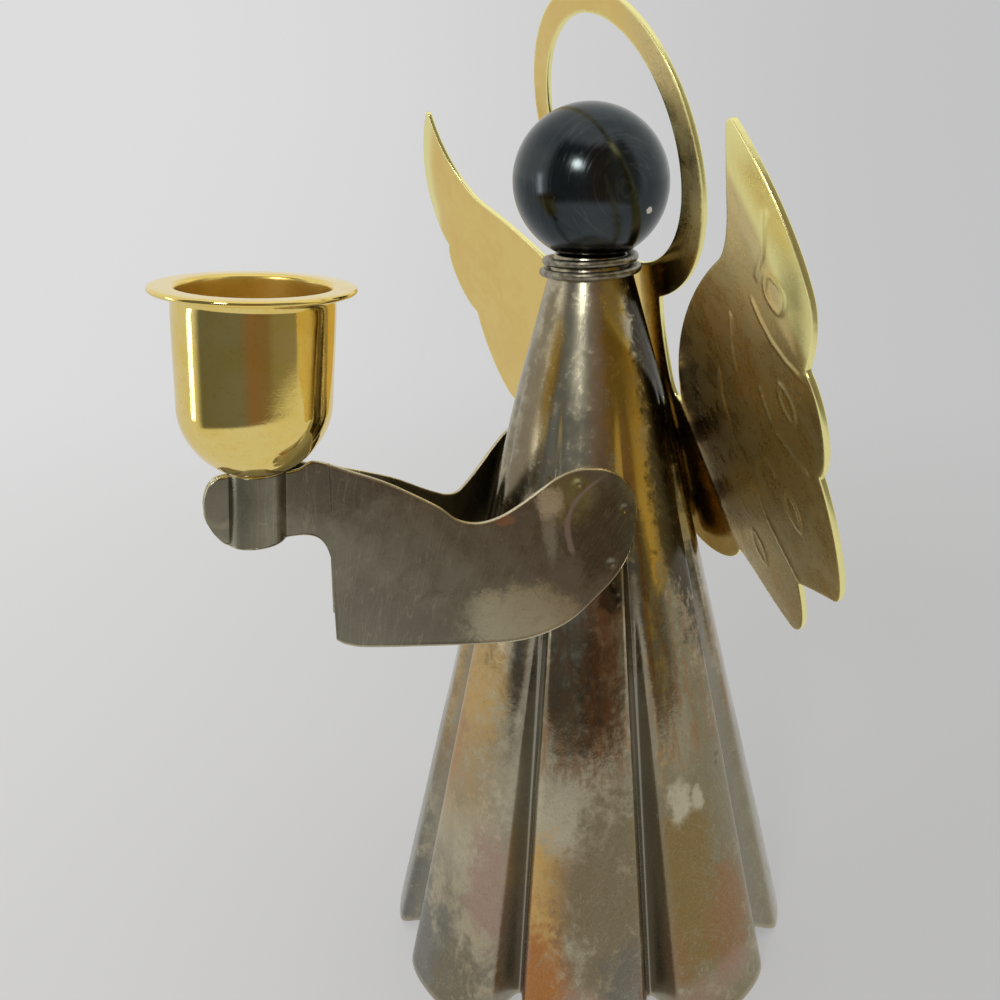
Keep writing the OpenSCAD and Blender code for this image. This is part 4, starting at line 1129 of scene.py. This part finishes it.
studio = {
    # grey of floor and backdrop from left to right, and the way across the picture
    "pale": (0.72, 0.545), "paleSpan": (-0.42, 0.36), "acrossWay": (0.467, 0.884),
    "wall": (0.78, 0.78, 0.76), "ceiling": (0.86, 0.86, 0.85), "floorShine": (0.64, 0.64, 0.63),
    "darkMiddle": 66, "darkHalf": 71, "darkSoft": 6, "darkTop": (50, 64),  # degrees
    "darkFloor": (0.30, 0.36), "floorSpread": 0.35, "floorSize": 30.0,  # metres from the axis
    "floorSeen": (0.05, 0.5, 0.62, 1), "floorRough": 0.9,
    # the dark half's shades from side to side
    "shades": [(0.0, (0.13, 0.135, 0.14)), (0.42, (0.15, 0.15, 0.148)), (0.52, (0.20, 0.125, 0.085)),
               (0.67, (0.185, 0.135, 0.095)), (0.74, (0.21, 0.20, 0.165)), (0.95, (0.23, 0.215, 0.18))],
    # each lamp's direction from the ball, distance, width and height in metres, power and tone
    "lamps": {"roundLamp": ((0.576, -0.674, 0.464), 0.9, 0.20, 0.20, 2.0, (1, 0.98, 0.90)),
              "sideWindow": ((-0.274, -0.959, -0.10), 0.5, 0.06, 0.26, 0.18, (0.97, 0.98, 1))},
}


def darkSide(x, y):
    # how far a direction lies in the dark half of the room behind the camera, and the room's shade there
    off = azimuth(x, y) - studio["darkMiddle"]
    half, soft = studio["darkHalf"], studio["darkSoft"]
    across = (off + half) * (0.5 / half)
    shade = across.node("ShaderNodeValToRGB", {"stops": studio["shades"]}, {0: across})
    return off.size().ease(half - soft, half + soft, 1, 0), shade


def paleGrey(across):
    # the grey that the camera sees behind and under the object
    grey = across.ease(*studio["paleSpan"], *studio["pale"])
    return grey.node("ShaderNodeCombineColor", None, {0: grey, 1: grey, 2: grey})


def makeFloor():
    # a wide pale floor; metal sees it dark where the dark half of the room would show in it
    size = studio["floorSize"]
    mesh = bpy.data.meshes.new("studioFloor")
    corners = [(-size, -size, 0), (size, -size, 0), (size, size, 0), (-size, size, 0)]
    mesh.from_pydata(corners, [], [(0, 1, 2, 3)])
    floor = bpy.data.objects.new("studioFloor", mesh)
    bpy.context.scene.collection.objects.link(floor)
    material, place = newMaterial("paleFloor")
    tree = material.node_tree
    shader = tree.nodes["Principled BSDF"]
    x, y = split(place)[:2]
    far = (x * x + y * y).root()
    a, b = studio["acrossWay"]
    pale = paleGrey((x * a + y * b) / (far + studio["floorSpread"]))
    fill(shader, {"Base Color": pale, "Roughness": studio["floorRough"]})
    path = tree.nodes.new("ShaderNodeLightPath")
    camera, glossy = Wire(tree, path.outputs["Is Camera Ray"]), Wire(tree, path.outputs["Is Glossy Ray"])
    glow = place.node("ShaderNodeEmission", None, {"Color": pale, "Strength": 1.0})
    # the camera sees less of the shaded floor and more of the plain grey further from the object
    seen = place.node("ShaderNodeMixShader", None,
                      {0: far.ease(*studio["floorSeen"]) * camera, 1: Wire(tree, shader.outputs[0]), 2: glow})
    share, shade = darkSide(x, y)
    shine = (share * far.ease(*studio["darkFloor"])).mixed(studio["floorShine"], shade)
    mirror = place.node("ShaderNodeEmission", None, {"Color": shine, "Strength": 1.0})
    both = place.node("ShaderNodeMixShader", None, {0: glossy, 1: seen, 2: mirror})
    fill(tree.nodes["Material Output"], {"Surface": both})
    mesh.materials.append(material)


def makeWorld():
    # a pale room whose half behind the camera is dark up to a height, and a plain backdrop for the camera
    world = bpy.data.worlds.new("studioRoom")
    bpy.context.scene.world = world
    world.use_nodes = True
    tree = world.node_tree
    tree.nodes.clear()
    way = Wire(tree, tree.nodes.new("ShaderNodeTexCoord").outputs["Generated"])
    x, y, z = split(way)
    share, shade = darkSide(x, y)
    low, high = np.sin(np.radians(studio["darkTop"]))
    wall = z.ease(low, high).mixed(studio["wall"], studio["ceiling"])
    room = (share * z.ease(low, high, 1, 0)).mixed(wall, shade)
    a, b = studio["acrossWay"]
    seen = Wire(tree, tree.nodes.new("ShaderNodeLightPath").outputs["Is Camera Ray"])
    colour = seen.mixed(room, paleGrey(x * a + y * b))
    back = way.node("ShaderNodeBackground", None, {"Color": colour, "Strength": 1.0})
    fill(tree.nodes.new("ShaderNodeOutputWorld"), {"Surface": back})


def makeLamp(name, way, distance, width, tall, power, tone):
    # a soft lamp that faces the ball, from a direction and a distance in metres
    data = bpy.data.lights.new(name, "AREA")
    data.shape = "ELLIPSE" if width == tall else "RECTANGLE"
    data.size, data.size_y = width, tall
    data.energy, data.color = power, tone
    lamp = bpy.data.objects.new(name, data)
    way = unit(np.array(way, float))
    lamp.location = list(toRow([0, 0, ballHeight]) + way * distance)
    lamp.rotation_mode = "QUATERNION"
    lamp.rotation_quaternion = Vector(way).to_track_quat("Z", "Y")
    bpy.context.scene.collection.objects.link(lamp)


view = {"pitch": 13.46, "roll": 0.24, "heading": 62.17, "place": (168.19, -88.39, 169.80),
        "sensor": 36, "lens": 36.285, "shift": (-0.0926, -0.1535), "clip": (0.01, 100)}


def makeCamera():
    # the photograph's camera: rolled, tilted down from the level, turned to its heading and put in its place
    data = bpy.data.cameras.new("photoCamera")
    data.sensor_width, data.lens = view["sensor"], view["lens"]
    data.shift_x, data.shift_y = view["shift"]
    data.clip_start, data.clip_end = view["clip"]
    camera = bpy.data.objects.new("photoCamera", data)
    heading, tilt, roll = (Matrix.Rotation(math.radians(angle), 4, axis) for angle, axis in (
        (view["heading"], "Z"), (90 - view["pitch"], "X"), (view["roll"], "Z")))
    camera.matrix_world = Matrix.Translation(Vector(toRow(view["place"]))) @ heading @ tilt @ roll
    bpy.context.scene.collection.objects.link(camera)
    bpy.context.scene.camera = camera


makeFloor()
makeWorld()
for lampName, row in studio["lamps"].items():
    makeLamp(lampName, *row)
makeCamera()
bpy.context.scene.view_settings.view_transform = "Standard"
print("studio ready")
